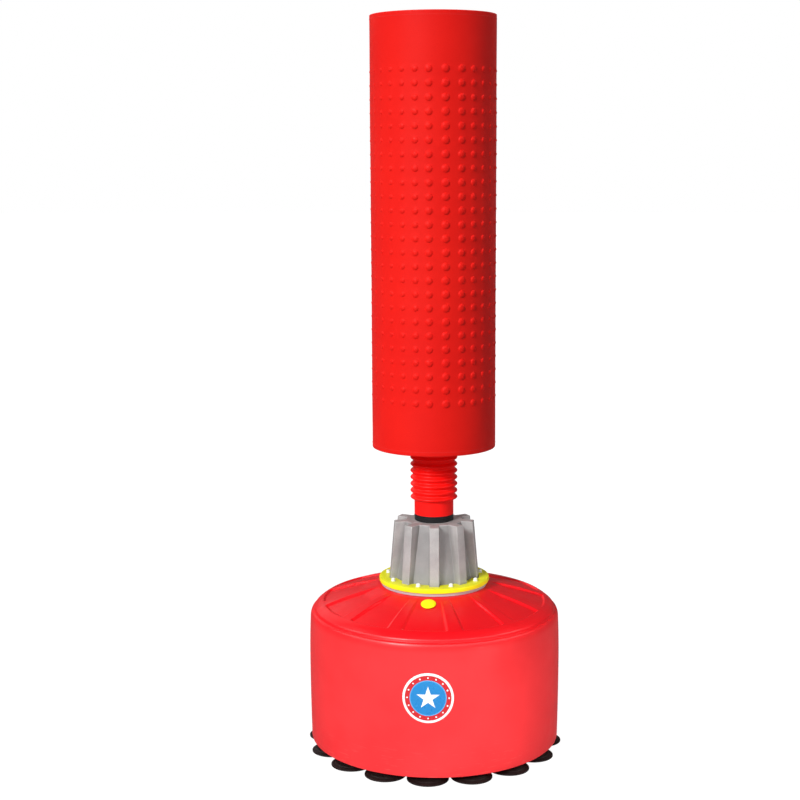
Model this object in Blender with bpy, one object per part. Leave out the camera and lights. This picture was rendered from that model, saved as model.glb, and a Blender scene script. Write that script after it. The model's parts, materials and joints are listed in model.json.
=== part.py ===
"""A free standing training bag: a fillable base tank on suction cups, a finned hub with a sprung
neck under a bellows, and a padded column with a zipped cover.

Metres, +Z up. The origin is on the floor under the middle of the base, and the front faces -Y.
"""

import math

import bmesh
import bpy
from mathutils import Matrix, Vector

GAP = 0.0003  # between pieces that touch on the real object
BEVEL = 0.0010  # small edge break
LEAD_IN = 0.0020  # chamfer where one piece is pushed into another
SHARP_ANGLE = math.radians(35)  # shading breaks at edges sharper than this

# Suction cups: a ring of rubber feet pushed into sockets under the tank.
CUP_COUNT = 16
CUP_CIRCLE_R = 0.222
CUP_TURN = math.radians(1.4)  # the front cup's angle from -Y towards +X
CUP_R = 0.0415
CUP_LIP = 0.007  # width of the flat ring that meets the floor
CUP_EDGE_T = 0.0022
CUP_SHOULDER_R = 0.0135
CUP_STEM_R = 0.0045
CUP_STEM_TOP = 0.0235
CUP_ROOF_Z = 0.0078  # underside of the cup at its middle
CUP_SEGMENTS = 14
SOCKET_R = 0.0052
SOCKET_TOP = 0.0245

# Base tank: a moulded drum with a shallow domed top.
TANK_BOTTOM = 0.015
TANK_SIDE_R = 0.256
TANK_BULGE_R = 0.258
TANK_BULGE_Z = 0.187
TANK_EDGE = 0.0015  # small chamfer round the bottom edge
TANK_SHOULDER_Z = 0.2720
SEAT_Z = 0.335  # flat seat for the hub
SEAT_R = 0.112
DOME_START_R = 0.110
DOME_SLOPE = 0.181  # where it leaves the seat; it steepens by DOME_CURVE outwards
DOME_CURVE = 0.78
RIM_BAND = ((0.2400, 0.2958), (0.2475, 0.2893))  # the dome goes on outside the panels
RIM_GROOVE = (0.2497, 0.2845)
RIM_LIP = (0.2515, 0.2838)
SHOULDER_STEPS = 2

# Sunk panels round the dome, one of them facing front.
PANEL_COUNT = 12
PANEL_HALF_ANGLE = math.radians(11.7)
PANEL_FLOOR_HALF_ANGLE = math.radians(10.4)
PANEL_INNER_R = 0.117
PANEL_DEEP_R = 0.150  # the floor is at full depth from here outwards
PANEL_MIDDLE_RADII = (0.134, 0.175, 0.200)  # more rows of faces, to follow the dome's curve
PANEL_FLOOR_END_R = 0.2245
PANEL_OUTER_R = 0.2286
PANEL_DEPTH = 0.0040

# The tank's hollow, as a half outline from the middle of its roof to the middle of its floor.
CAVITY = (
    (0.0, 0.3130),
    (0.1190, 0.3130),
    (0.1235, 0.3215),
    (0.1750, 0.3060),
    (0.2150, 0.2965),
    (0.2340, 0.2920),
    (0.2435, 0.2825),
    (0.2505, 0.2680),
    (0.2525, TANK_BULGE_Z),
    (0.2505, 0.0340),
    (0.2460, 0.0290),
    (0.0, 0.0290),
)
CAVITY_SEGMENTS = 36

# Filler plug, square to the front panel's floor.
FILLER_R = 0.1355  # distance of its middle from the tank's axis
FILLER_HOLE_R = 0.0115
FILLER_SEAT_R = 0.0158
FILLER_SEAT_DEPTH = 0.0012
FILLER_REACH = 0.022
PLUG_HEAD_R = 0.0150
PLUG_HEAD_T = 0.0026
PLUG_CROWN = 0.0008
PLUG_CROWN_POINT = (0.0090, 0.00056)  # a point on the crown: radius, height over the rim
PLUG_STEM_R = 0.0105
PLUG_STEM_LENGTH = 0.0165
PLUG_SEAL_T = 0.0014
PLUG_SEGMENTS = 24
PLUG_SEAL_SEGMENTS = 20

# Badge: a thin round label on the front of the tank.
BADGE_R = 0.050
BADGE_Z = 0.178
BADGE_TURN = math.radians(2.1)  # from -Y towards +X
BADGE_BACK_R = 0.2584
BADGE_T = 0.0010
BADGE_SEGMENTS = 24

# Hub: a tapered core with square fins on a round flange.
FIN_COUNT = 9
FIN_TURN = math.radians(5.2)  # the front fin's angle from -Y
FIN_WIDTH = 0.0195
FIN_TOP_R = 0.0815
FIN_BOTTOM_R = 0.0925
CORE_TOP_R = 0.058
CORE_BOTTOM_R = 0.0795
HUB_TOP = 0.470
FLANGE_R = 0.109
FLANGE_BOTTOM = 0.3355
FLANGE_TOP = 0.3425
HUB_MOUTH_R = 0.070
HUB_ROOF_R = 0.050
HUB_ROOF_Z = 0.455
HUB_BOSS_R = 0.020
HUB_BOSS_Z = 0.430
HUB_HOLE_R = 0.0085

# Clamp ring and its bolts, one between each pair of fins.
RING_R = 0.113
RING_TOP = 0.3520
RING_CLEARANCE = 0.0007
BOLT_CIRCLE_R = 0.0965
BOLT_HOLE_R = 0.0032
BOLT_HOLE_BOTTOM = 0.3190
BOLT_SHANK_R = 0.0027
BOLT_TIP = 0.3205
BOLT_HEAD_R = 0.0040
BOLT_HEAD_H = 0.0062
BOLT_BEVEL = 0.0012
BOLT_SEGMENTS = 10

# Sprung neck: seats screwed to the hub and to the pole, with a coil between them.
SEAT_DISC_R = 0.034
SEAT_DISC_T = 0.0062
SEAT_BOSS_R = 0.0192
LOWER_BOSS_TOP = 0.5085
STUD_HOLE_R = 0.0084
STUD_HOLE_TOP = 0.503
STUD_R = 0.0080
STUD_TOP = 0.500
WASHER_R = 0.017
WASHER_T = 0.003
STUD_HEAD_R = 0.0138
STUD_HEAD_H = 0.010
COIL_R = 0.0262
COIL_WIRE_R = 0.0045
COIL_TURNS = 8
COIL_STEPS = 10  # points in a turn
SPRING_SEAT_SEGMENTS = 16
FASTENER_SEGMENTS = 12  # a multiple of six, for the hexagons
WASHER_SEGMENTS = 20
UPPER_SEAT_Z = 0.6085
UPPER_BOSS_BOTTOM = 0.5825
SPIGOT_R = 0.0208
SPIGOT_TOP = 0.690

# Seal ring and bellows over the neck.
NECK_R = 0.040
NECK_WALL = 0.0026
SEAL_INNER_R = 0.0348
SEAL_TOP = 0.4830
CUFF_TOP = 0.5110
RIB_R = 0.0482
VALLEY_R = 0.0425
RIB_PITCH = 0.01374
FIRST_RIB_Z = 0.5180
RIB_COUNT = 8
BELLOWS_TOP = 0.6262
BELLOWS_SEGMENTS = 18
SEAL_SEGMENTS = 24

# Column: pole, foam, end plates and cover.
POLE_R = 0.0240
POLE_BORE_R = 0.0213
POLE_TOP = 1.4480
POLE_FLANGE_R = 0.0365
POLE_FLANGE_Z = (0.6205, 0.6262)
CROSS_BOLT_Z = 0.665
CROSS_BOLT_R = 0.0040
CROSS_HOLE_R = 0.0045
CROSS_HEAD_R = 0.0066
CROSS_HEAD_H = 0.0055
CROSS_TIP = 0.0325
CAP_TOP = 1.4540
CAP_PLUG_DEPTH = 0.015
POLE_SEGMENTS = 16
CAP_SEGMENTS = 24
BAG_R = 0.125
BAG_BOTTOM = 0.624
BAG_TOP = 1.480
COVER_T = 0.0022
PADDING_R = 0.1222
PLATE_Z = (0.6268, 0.6346)
FOAM_BOTTOM = 0.6350
FOAM_TOP = 1.4546
FOAM_BORE_R = 0.0247
FOAM_POCKET_R = 0.037  # room for the cross bolt's head and nut
FOAM_POCKET_TOP = 0.690
COVER_HOLE_R = 0.043
BAG_SEGMENTS = 48
PADDING_SEGMENTS = 32

# Zip down the back of the cover.
ZIP_HALF_ANGLE = math.radians(5.5)
ZIP_R = 0.1254
ZIP_T = 0.0010
ZIP_Z = (0.640, 1.464)
SLIDER_SIZE = (0.0100, 0.0046, 0.0160)
SLIDER_Z = 0.652
LUG_SIZE = (0.0018, 0.0034, 0.0050)
LUG_SPACING = 0.0078
PULL_BARREL_R = 0.0011
PULL_BARREL_LENGTH = 0.0048
PULL_BARREL_SEGMENTS = 10
PULL_NECK_SIZE = (0.0040, 0.0014, 0.0060)
PULL_TAB_SIZE = (0.0066, 0.0014, 0.0300)
JOIN_OVERLAP = 0.0004  # how far shapes joined by a union run into each other

# Joint axes.
LOWER_HINGE_Z = 0.540
UPPER_HINGE_Z = 0.590

COLOURS = {  # name: (red, green, blue), roughness, metallic
    "tank_plastic": ((0.86, 0.03, 0.03), 0.42, 0.0),
    "cover_leather": ((0.72, 0.02, 0.015), 0.45, 0.0),
    "bellows_rubber": ((0.80, 0.02, 0.015), 0.50, 0.0),
    "hub_metal": ((0.50, 0.47, 0.46), 0.50, 0.2),
    "ring_plastic": ((0.87, 0.87, 0.02), 0.40, 0.0),
    "bolt_plastic": ((0.88, 0.88, 0.87), 0.40, 0.0),
    "cup_rubber": ((0.018, 0.015, 0.016), 0.60, 0.0),
    "badge_film": ((0.03, 0.25, 0.60), 0.35, 0.0),
    "bright_steel": ((0.55, 0.55, 0.56), 0.30, 1.0),
    "foam_white": ((0.85, 0.85, 0.82), 0.90, 0.0),
    "plate_black": ((0.03, 0.03, 0.03), 0.60, 0.0),
    "zip_tape": ((0.35, 0.012, 0.012), 0.80, 0.0),
}


def clear_scene():
    for item in list(bpy.data.objects):
        bpy.data.objects.remove(item)


def make_materials():
    made = {}
    for name, (colour, roughness, metallic) in COLOURS.items():
        material = bpy.data.materials.new(name)
        material.use_nodes = True
        shader = material.node_tree.nodes["Principled BSDF"]
        shader.inputs["Base Color"].default_value = (*colour, 1.0)
        shader.inputs["Roughness"].default_value = roughness
        shader.inputs["Metallic"].default_value = metallic
        made[name] = material
    return made


def add_object(name, bm, material):
    """Turns a bmesh into a named object whose faces point outwards."""
    bmesh.ops.recalc_face_normals(bm, faces=bm.faces)
    mesh = bpy.data.meshes.new(name)
    bm.to_mesh(mesh)
    bm.free()
    mesh.shade_smooth()
    mesh.set_sharp_from_angle(angle=SHARP_ANGLE)
    made = bpy.data.objects.new(name, mesh)
    bpy.context.scene.collection.objects.link(made)
    if material is not None:
        mesh.materials.append(material)
    return made


def add_axis(name, place, parent=None):
    """An empty on a joint's axis, which carries the pieces that move about it."""
    axis = bpy.data.objects.new(name, None)
    bpy.context.scene.collection.objects.link(axis)
    axis.parent = parent
    axis.location = Vector(place) - (world_place(parent) if parent else Vector())
    return axis


def world_place(axis):
    place = Vector(axis.location)
    while axis.parent is not None:
        axis = axis.parent
        place += axis.location
    return place


def carry(axis, *pieces):
    """Gives pieces that were made in world coordinates their origin on the axis."""
    for piece in pieces:
        piece.data.transform(Matrix.Translation(-world_place(axis)))
        piece.parent = axis


def circle(radius, z, count, turn=0.0):
    return [
        Vector((radius * math.sin(turn + a), -radius * math.cos(turn + a), z))
        for a in (2 * math.pi * k / count for k in range(count))
    ]


def bridge(bm, first, second):
    """Faces between two rings with as many vertices; a ring of one vertex is a point on the axis."""
    count = max(len(first), len(second))
    for k in range(count):
        following = (k + 1) % count
        if len(first) == 1:
            bm.faces.new((first[0], second[k], second[following]))
        elif len(second) == 1:
            bm.faces.new((first[k], first[following], second[0]))
        else:
            bm.faces.new((first[k], first[following], second[following], second[k]))


def skin(sections, closed=True, bm=None):
    """A mesh over rings of points, in order; closed also joins the last ring to the first."""
    bm = bm or bmesh.new()
    rings = [[bm.verts.new(p) for p in section] for section in sections]
    following = rings[1:] + rings[:1] if closed else rings[1:]
    for ring, after in zip(rings, following):
        if len(ring) > 1 or len(after) > 1:
            bridge(bm, ring, after)
    return bm


def turned(name, outline, segments, material):
    """A solid turned about Z: outline is a closed loop of (radius, z)."""
    sections = [
        circle(radius, z, segments) if radius else [Vector((0, 0, z))] for radius, z in outline
    ]
    return add_object(name, skin(sections), material)


def tube_outline(inner_r, outer_r, low, high):
    return [(inner_r, low), (outer_r, low), (outer_r, high), (inner_r, high)]


def hide_cutter(cutter):
    cutter.hide_render = True
    cutter.display_type = "WIRE"
    return cutter


def cut(piece, cutter):
    modifier = piece.modifiers.new("cut_" + cutter.name, "BOOLEAN")
    modifier.operation = "DIFFERENCE"
    modifier.solver = "EXACT"
    modifier.object = cutter


def cylinder_sections(radius, low, high, segments, place=(0.0, 0.0)):
    """The rings of an upright cylinder, with a point in the middle of each end."""
    shift = Vector((*place, 0))
    sections = [[Vector((0, 0, low))], circle(radius, low, segments)]
    sections += [circle(radius, high, segments), [Vector((0, 0, high))]]
    return [[p + shift for p in section] for section in sections]


def row_of_cylinders(name, radius, low, high, places, segments=BOLT_SEGMENTS):
    """One cutter made of upright cylinders at several places."""
    bm = bmesh.new()
    for place in places:
        skin(cylinder_sections(radius, low, high, segments, place), closed=False, bm=bm)
    return hide_cutter(add_object(name, bm, None))


def around(count, radius, turn=0.0):
    """(x, y) of count places on a circle, the first at the front when turn is zero."""
    points = circle(radius, 0.0, count, turn)
    return [(p.x, p.y) for p in points]


def dome_z(radius):
    """Height of the crowned dome between the hub's seat and the rim band."""
    out = max(radius - DOME_START_R, 0.0)
    return SEAT_Z - DOME_SLOPE * out - DOME_CURVE * out * out


def panel_depth(radius):
    """How far a panel's floor lies below the dome at this radius."""
    if radius >= PANEL_OUTER_R:
        return 0.0
    share = (radius - PANEL_INNER_R) / (PANEL_DEEP_R - PANEL_INNER_R)
    return PANEL_DEPTH * min(max(share, 0.0), 1.0)


def shoulder_arc():
    """The rounded edge from the rim's lip down to the side."""
    (lip_r, lip_z), side = RIM_LIP, (TANK_SIDE_R, TANK_SHOULDER_Z)
    angles = [math.pi / 2 * k / SHOULDER_STEPS for k in range(SHOULDER_STEPS + 1)]
    return [
        (lip_r + (side[0] - lip_r) * math.sin(a), side[1] + (lip_z - side[1]) * math.cos(a))
        for a in angles
    ]


def tank_rows():
    """The tank's outside from the seat to the bottom edge, as (radius, z, panel depth)."""
    dome = sorted((PANEL_INNER_R, *PANEL_MIDDLE_RADII, PANEL_DEEP_R, PANEL_FLOOR_END_R, PANEL_OUTER_R))
    rows = [(SEAT_R, SEAT_Z, 0.0)]
    rows += [(r, dome_z(r), panel_depth(r)) for r in dome]
    rows += [(r, z, 0.0) for r, z in (*RIM_BAND, RIM_GROOVE, *shoulder_arc())]
    rows += [
        (TANK_BULGE_R, TANK_BULGE_Z, 0.0),
        (TANK_SIDE_R, TANK_BOTTOM + TANK_EDGE, 0.0),
        (TANK_SIDE_R - TANK_EDGE, TANK_BOTTOM, 0.0),
    ]
    return rows


def tank_columns():
    """Angles round the tank, with the share of the panel depth that each one takes."""
    third = PANEL_FLOOR_HALF_ANGLE / 3
    sector = [(-PANEL_HALF_ANGLE, 0.0), (-PANEL_FLOOR_HALF_ANGLE, 1.0), (-third, 1.0)]
    sector += [(-angle, share) for angle, share in reversed(sector)]
    step = 2 * math.pi / PANEL_COUNT
    return [(step * k + angle, share) for k in range(PANEL_COUNT) for angle, share in sector]


def filler_seat():
    """The middle of the filler's seat and the tilt of its axis from upright."""
    dome_slope = DOME_SLOPE + 2 * DOME_CURVE * (FILLER_R - DOME_START_R)
    slope = dome_slope + PANEL_DEPTH / (PANEL_DEEP_R - PANEL_INNER_R)
    height = dome_z(FILLER_R) - panel_depth(FILLER_R)
    return Vector((0, -FILLER_R, height)), math.atan(slope)


def make_filler_cutter():
    outline = [
        (0.0, FILLER_REACH),
        (FILLER_SEAT_R, FILLER_REACH),
        (FILLER_SEAT_R, -FILLER_SEAT_DEPTH),
        (FILLER_HOLE_R, -FILLER_SEAT_DEPTH),
        (FILLER_HOLE_R, -FILLER_REACH),
        (0.0, -FILLER_REACH),
    ]
    cutter = hide_cutter(turned("filler_hole_cutter", outline, PLUG_SEGMENTS, None))
    cutter.location, tilt = filler_seat()
    cutter.rotation_euler = (tilt, 0, 0)
    return cutter


def make_tank(materials, bolt_holes):
    rows = [
        [
            Vector((radius * math.sin(a), -radius * math.cos(a), z - share * depth))
            for a, share in tank_columns()
        ]
        for radius, z, depth in tank_rows()
    ]
    sections = [[Vector((0, 0, SEAT_Z))], *rows, [Vector((0, 0, TANK_BOTTOM))]]
    tank = add_object("base_tank", skin(sections, closed=False), materials["tank_plastic"])

    sockets = row_of_cylinders(
        "cup_socket_cutter",
        SOCKET_R,
        TANK_BOTTOM - SOCKET_R,
        SOCKET_TOP,
        around(CUP_COUNT, CUP_CIRCLE_R, CUP_TURN),
    )
    cavity = hide_cutter(turned("cavity_cutter", CAVITY, CAVITY_SEGMENTS, None))
    for cutter in (cavity, make_filler_cutter(), sockets, bolt_holes):
        cut(tank, cutter)
    return tank


def make_suction_cups(materials):
    shoulder_z = TANK_BOTTOM - GAP
    outline = [
        (0.0, CUP_STEM_TOP),
        (CUP_STEM_R, CUP_STEM_TOP),
        (CUP_STEM_R, shoulder_z),
        (CUP_SHOULDER_R, shoulder_z),
        (CUP_R, CUP_EDGE_T),
        (CUP_R, 0.0),
        (CUP_R - CUP_LIP, 0.0),
        (CUP_SHOULDER_R, CUP_ROOF_Z - BEVEL),
        (0.0, CUP_ROOF_Z),
    ]
    pattern = turned("suction_cup_01", outline, CUP_SEGMENTS, materials["cup_rubber"])
    cups = [pattern]
    for number in range(2, CUP_COUNT + 1):
        cup = bpy.data.objects.new(f"suction_cup_{number:02d}", pattern.data)
        bpy.context.scene.collection.objects.link(cup)
        cups.append(cup)
    for cup, (x, y) in zip(cups, around(CUP_COUNT, CUP_CIRCLE_R, CUP_TURN)):
        cup.location = (x, y, 0)
    return cups


def make_filler_plug(materials):
    """The plug and its seal, on an axis square to the panel."""
    place, tilt = filler_seat()
    axis = add_axis("axis_filler_plug", place)
    axis.rotation_euler = (tilt, 0, 0)
    seal_low = GAP - FILLER_SEAT_DEPTH
    head_low = seal_low + PLUG_SEAL_T + GAP
    head_top = head_low + PLUG_HEAD_T
    crown_r, crown_h = PLUG_CROWN_POINT
    plug = turned(
        "filler_plug",
        [
            (0.0, head_top + PLUG_CROWN),
            (crown_r, head_top + crown_h),
            (PLUG_HEAD_R - BEVEL, head_top),
            (PLUG_HEAD_R, head_top - BEVEL),
            (PLUG_HEAD_R, head_low),
            (PLUG_STEM_R, head_low),
            (PLUG_STEM_R, -PLUG_STEM_LENGTH + LEAD_IN),
            (PLUG_STEM_R - LEAD_IN, -PLUG_STEM_LENGTH),
            (0.0, -PLUG_STEM_LENGTH),
        ],
        PLUG_SEGMENTS,
        materials["ring_plastic"],
    )
    seal = turned(
        "plug_seal",
        tube_outline(PLUG_STEM_R + 2 * GAP, PLUG_HEAD_R - BEVEL, seal_low, seal_low + PLUG_SEAL_T),
        PLUG_SEAL_SEGMENTS,
        materials["cup_rubber"],
    )
    plug.parent = axis
    seal.parent = axis
    return plug, seal


def make_badge(materials):
    """A round label that follows the curve of the tank's side."""
    sections = []
    for depth, reach in ((0.0, 0.0), (0.0, 0.5), (0.0, 1.0), (1.0, 1.0), (1.0, 0.5), (1.0, 0.0)):
        radius = BADGE_BACK_R + BADGE_T * depth
        flat = circle(BADGE_R * reach, 0.0, BADGE_SEGMENTS) if reach else [Vector()]
        sections.append([
            Vector((
                radius * math.sin(BADGE_TURN + p.x / BADGE_BACK_R),
                -radius * math.cos(BADGE_TURN + p.x / BADGE_BACK_R),
                BADGE_Z + p.y,
            ))
            for p in flat
        ])
    return add_object("badge", skin(sections, closed=False), materials["badge_film"])


def fin_star(core_r, fin_r, width, z):
    """The hub's outline at one height: each fin's four corners and the middle of the next gap."""
    step = 2 * math.pi / FIN_COUNT
    half = width / 2
    root = math.sqrt(core_r**2 - half**2)
    points = []
    for k in range(FIN_COUNT):
        turn = FIN_TURN + step * k
        outward = Vector((math.sin(turn), -math.cos(turn), 0))
        sideways = Vector((math.cos(turn), math.sin(turn), 0))
        corners = ((root, -half), (fin_r, -half), (fin_r, half), (root, half))
        points += [outward * out + sideways * side for out, side in corners]
        gap = turn + step / 2
        points.append(Vector((math.sin(gap), -math.cos(gap), 0)) * core_r)
    return [Vector((p.x, p.y, z)) for p in points]


def circle_under(star, radius, z):
    """A circle with a point straight out from each point of the star."""
    return [Vector((p.x, p.y, 0)).normalized() * radius + Vector((0, 0, z)) for p in star]


def make_hub(materials, bolt_holes):
    top = fin_star(CORE_TOP_R, FIN_TOP_R, FIN_WIDTH, HUB_TOP)
    bottom = fin_star(CORE_BOTTOM_R, FIN_BOTTOM_R, FIN_WIDTH, FLANGE_TOP)
    sections = [
        circle_under(bottom, HUB_HOLE_R, HUB_TOP),
        top,
        bottom,
        circle_under(bottom, FLANGE_R, FLANGE_TOP),
        circle_under(bottom, FLANGE_R, FLANGE_BOTTOM),
        circle_under(bottom, HUB_MOUTH_R, FLANGE_BOTTOM),
        circle_under(bottom, HUB_ROOF_R, HUB_ROOF_Z),
        circle_under(bottom, HUB_BOSS_R, HUB_ROOF_Z),
        circle_under(bottom, HUB_BOSS_R, HUB_BOSS_Z),
        circle_under(bottom, HUB_HOLE_R, HUB_BOSS_Z),
    ]
    hub = add_object("hub_housing", skin(sections), materials["hub_metal"])
    cut(hub, bolt_holes)
    return hub


def make_clamp_ring(materials, bolt_holes):
    core_r = CORE_BOTTOM_R + RING_CLEARANCE
    fin_r = FIN_BOTTOM_R + RING_CLEARANCE
    width = FIN_WIDTH + 2 * RING_CLEARANCE
    low = fin_star(core_r, fin_r, width, FLANGE_TOP + GAP)
    high = fin_star(core_r, fin_r, width, RING_TOP)
    sections = [
        low,
        circle_under(low, RING_R, FLANGE_TOP + GAP),
        circle_under(low, RING_R, RING_TOP),
        high,
    ]
    ring = add_object("clamp_ring", skin(sections), materials["ring_plastic"])
    cut(ring, bolt_holes)
    return ring


def bolt_places():
    half_step = math.pi / FIN_COUNT
    return around(FIN_COUNT, BOLT_CIRCLE_R, FIN_TURN + half_step)


def make_clamp_bolts(materials):
    head_low = RING_TOP + GAP
    outline = [
        (0.0, head_low + BOLT_HEAD_H),
        (BOLT_HEAD_R - BOLT_BEVEL, head_low + BOLT_HEAD_H),
        (BOLT_HEAD_R, head_low + BOLT_HEAD_H - BOLT_BEVEL),
        (BOLT_HEAD_R, head_low),
        (BOLT_SHANK_R, head_low),
        (BOLT_SHANK_R, BOLT_TIP),
        (0.0, BOLT_TIP),
    ]
    pattern = turned("clamp_bolt_1", outline, BOLT_SEGMENTS, materials["bolt_plastic"])
    bolts = [pattern]
    for number in range(2, FIN_COUNT + 1):
        bolt = bpy.data.objects.new(f"clamp_bolt_{number}", pattern.data)
        bpy.context.scene.collection.objects.link(bolt)
        bolts.append(bolt)
    for bolt, (x, y) in zip(bolts, bolt_places()):
        bolt.location = (x, y, 0)
    return bolts


def make_lower_spring_seat(materials):
    low = HUB_TOP + GAP
    outline = [
        (STUD_HOLE_R, low),
        (SEAT_DISC_R, low),
        (SEAT_DISC_R, low + SEAT_DISC_T),
        (SEAT_BOSS_R, low + SEAT_DISC_T),
        (SEAT_BOSS_R, LOWER_BOSS_TOP - LEAD_IN),
        (SEAT_BOSS_R - LEAD_IN, LOWER_BOSS_TOP),
        (0.0, LOWER_BOSS_TOP),
        (0.0, STUD_HOLE_TOP),
        (STUD_HOLE_R, STUD_HOLE_TOP),
    ]
    steel = materials["bright_steel"]
    return turned("lower_spring_seat", outline, SPRING_SEAT_SEGMENTS, steel)


def make_hub_stud(materials):
    """The screw that holds the lower spring seat down, with its washer, inside the hub."""
    washer_top = HUB_BOSS_Z - GAP
    washer_low = washer_top - WASHER_T
    head_top = washer_low - GAP
    washer = turned(
        "hub_stud_washer",
        tube_outline(STUD_HOLE_R + GAP, WASHER_R, washer_low, washer_top),
        WASHER_SEGMENTS,
        materials["bright_steel"],
    )
    sections = [
        [Vector((0, 0, head_top - STUD_HEAD_H))],
        hexagon(circle(STUD_HEAD_R, head_top - STUD_HEAD_H, FASTENER_SEGMENTS)),
        hexagon(circle(STUD_HEAD_R, head_top, FASTENER_SEGMENTS)),
        circle(STUD_R, head_top, FASTENER_SEGMENTS),
        circle(STUD_R, STUD_TOP, FASTENER_SEGMENTS),
        [Vector((0, 0, STUD_TOP))],
    ]
    stud = add_object("hub_stud", skin(sections, closed=False), materials["bright_steel"])
    return stud, washer


def hexagon(points):
    """Draws a circle's points in onto the six sides of the hexagon with the same corners."""
    sixth = math.pi / 3
    drawn = []
    for p in points:
        angle = math.atan2(p.y, p.x) % sixth - sixth / 2
        factor = math.cos(sixth / 2) / math.cos(angle)
        drawn.append(Vector((p.x * factor, p.y * factor, p.z)))
    return drawn


def make_coil_spring(materials):
    low = HUB_TOP + SEAT_DISC_T + 2 * GAP + COIL_WIRE_R
    high = UPPER_SEAT_Z - GAP - COIL_WIRE_R
    curve = bpy.data.curves.new("coil_spring", "CURVE")
    curve.dimensions = "3D"
    curve.bevel_depth = COIL_WIRE_R
    curve.bevel_resolution = 1
    curve.use_fill_caps = True
    spline = curve.splines.new("POLY")
    steps = COIL_TURNS * COIL_STEPS
    spline.points.add(steps)
    for k, point in enumerate(spline.points):
        angle = 2 * math.pi * k / COIL_STEPS
        height = low + (high - low) * k / steps
        point.co = (COIL_R * math.cos(angle), COIL_R * math.sin(angle), height, 1.0)
    curve.materials.append(materials["bright_steel"])
    spring = bpy.data.objects.new("coil_spring", curve)
    bpy.context.scene.collection.objects.link(spring)
    return spring


def bellows_side(cuff_r, valley_r, rib_r, low, high):
    """One side of the bellows' wall from the bottom up: cuff, ribs and valleys, top cuff."""
    side = [(cuff_r, low), (cuff_r, CUFF_TOP)]
    for k in range(RIB_COUNT):
        centre = FIRST_RIB_Z + RIB_PITCH * k
        if k > 0:
            side.append((valley_r, centre - RIB_PITCH / 2))
        side.append((rib_r, centre))
    last = FIRST_RIB_Z + RIB_PITCH * (RIB_COUNT - 0.5)
    side += [(cuff_r, last), (cuff_r, high)]
    return side


def make_bellows(materials):
    low = SEAL_TOP + GAP
    outer = bellows_side(NECK_R, VALLEY_R, RIB_R, low, BELLOWS_TOP)
    inner = bellows_side(
        NECK_R - NECK_WALL, VALLEY_R - NECK_WALL, RIB_R - NECK_WALL, low, BELLOWS_TOP
    )
    outline = outer + inner[::-1]
    return turned("bellows", outline, BELLOWS_SEGMENTS, materials["bellows_rubber"])


def make_seal_ring(materials):
    outline = tube_outline(SEAL_INNER_R, NECK_R, HUB_TOP + GAP, SEAL_TOP)
    return turned("seal_ring", outline, SEAL_SEGMENTS, materials["cup_rubber"])


def make_cross_bolt_cutter():
    """A cylinder along X for the holes through the pole and the upper spring seat."""
    reach = 2 * POLE_R
    cutter = row_of_cylinders("cross_hole_cutter", CROSS_HOLE_R, -reach, reach, [(0, 0)])
    cutter.data.transform(Matrix.Rotation(math.pi / 2, 4, "Y"))
    cutter.location = (0, 0, CROSS_BOLT_Z)
    return cutter


def make_upper_spring_seat(materials, cross_hole):
    disc_top = UPPER_SEAT_Z + SEAT_DISC_T
    outline = [
        (0.0, UPPER_BOSS_BOTTOM),
        (SEAT_BOSS_R - LEAD_IN, UPPER_BOSS_BOTTOM),
        (SEAT_BOSS_R, UPPER_BOSS_BOTTOM + LEAD_IN),
        (SEAT_BOSS_R, UPPER_SEAT_Z),
        (SEAT_DISC_R, UPPER_SEAT_Z),
        (SEAT_DISC_R, disc_top),
        (SPIGOT_R, disc_top),
        (SPIGOT_R, SPIGOT_TOP),
        (0.0, SPIGOT_TOP),
    ]
    steel = materials["bright_steel"]
    seat = turned("upper_spring_seat", outline, SPRING_SEAT_SEGMENTS, steel)
    cut(seat, cross_hole)
    return seat


def make_pole(materials, cross_hole):
    low = UPPER_SEAT_Z + SEAT_DISC_T + 2 * GAP
    flange_low, flange_top = POLE_FLANGE_Z
    outline = [
        (POLE_BORE_R, low),
        (POLE_R, low),
        (POLE_R, flange_low),
        (POLE_FLANGE_R, flange_low),
        (POLE_FLANGE_R, flange_top),
        (POLE_R, flange_top),
        (POLE_R, POLE_TOP),
        (POLE_BORE_R, POLE_TOP),
    ]
    pole = turned("inner_pole", outline, POLE_SEGMENTS, materials["bright_steel"])
    cut(pole, cross_hole)
    return pole


def make_cross_bolt(materials):
    """A hexagon bolt through the pole's foot, and its nut."""
    face = POLE_R + GAP
    sections = [
        [Vector((0, 0, face + CROSS_HEAD_H))],
        hexagon(circle(CROSS_HEAD_R, face + CROSS_HEAD_H, FASTENER_SEGMENTS)),
        hexagon(circle(CROSS_HEAD_R, face, FASTENER_SEGMENTS)),
        circle(CROSS_BOLT_R, face, FASTENER_SEGMENTS),
        circle(CROSS_BOLT_R, -CROSS_TIP, FASTENER_SEGMENTS),
        [Vector((0, 0, -CROSS_TIP))],
    ]
    bolt = add_object("pole_bolt", skin(sections, closed=False), materials["bright_steel"])
    bore_r = CROSS_BOLT_R + 2 * GAP
    nut_sections = [
        circle(bore_r, -face, FASTENER_SEGMENTS),
        hexagon(circle(CROSS_HEAD_R, -face, FASTENER_SEGMENTS)),
        hexagon(circle(CROSS_HEAD_R, -face - CROSS_HEAD_H, FASTENER_SEGMENTS)),
        circle(bore_r, -face - CROSS_HEAD_H, FASTENER_SEGMENTS),
    ]
    nut = add_object("pole_nut", skin(nut_sections), materials["bright_steel"])
    for piece in (bolt, nut):
        piece.data.transform(Matrix.Rotation(math.pi / 2, 4, "Y"))
        piece.data.transform(Matrix.Translation((0, 0, CROSS_BOLT_Z)))
    return bolt, nut


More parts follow.
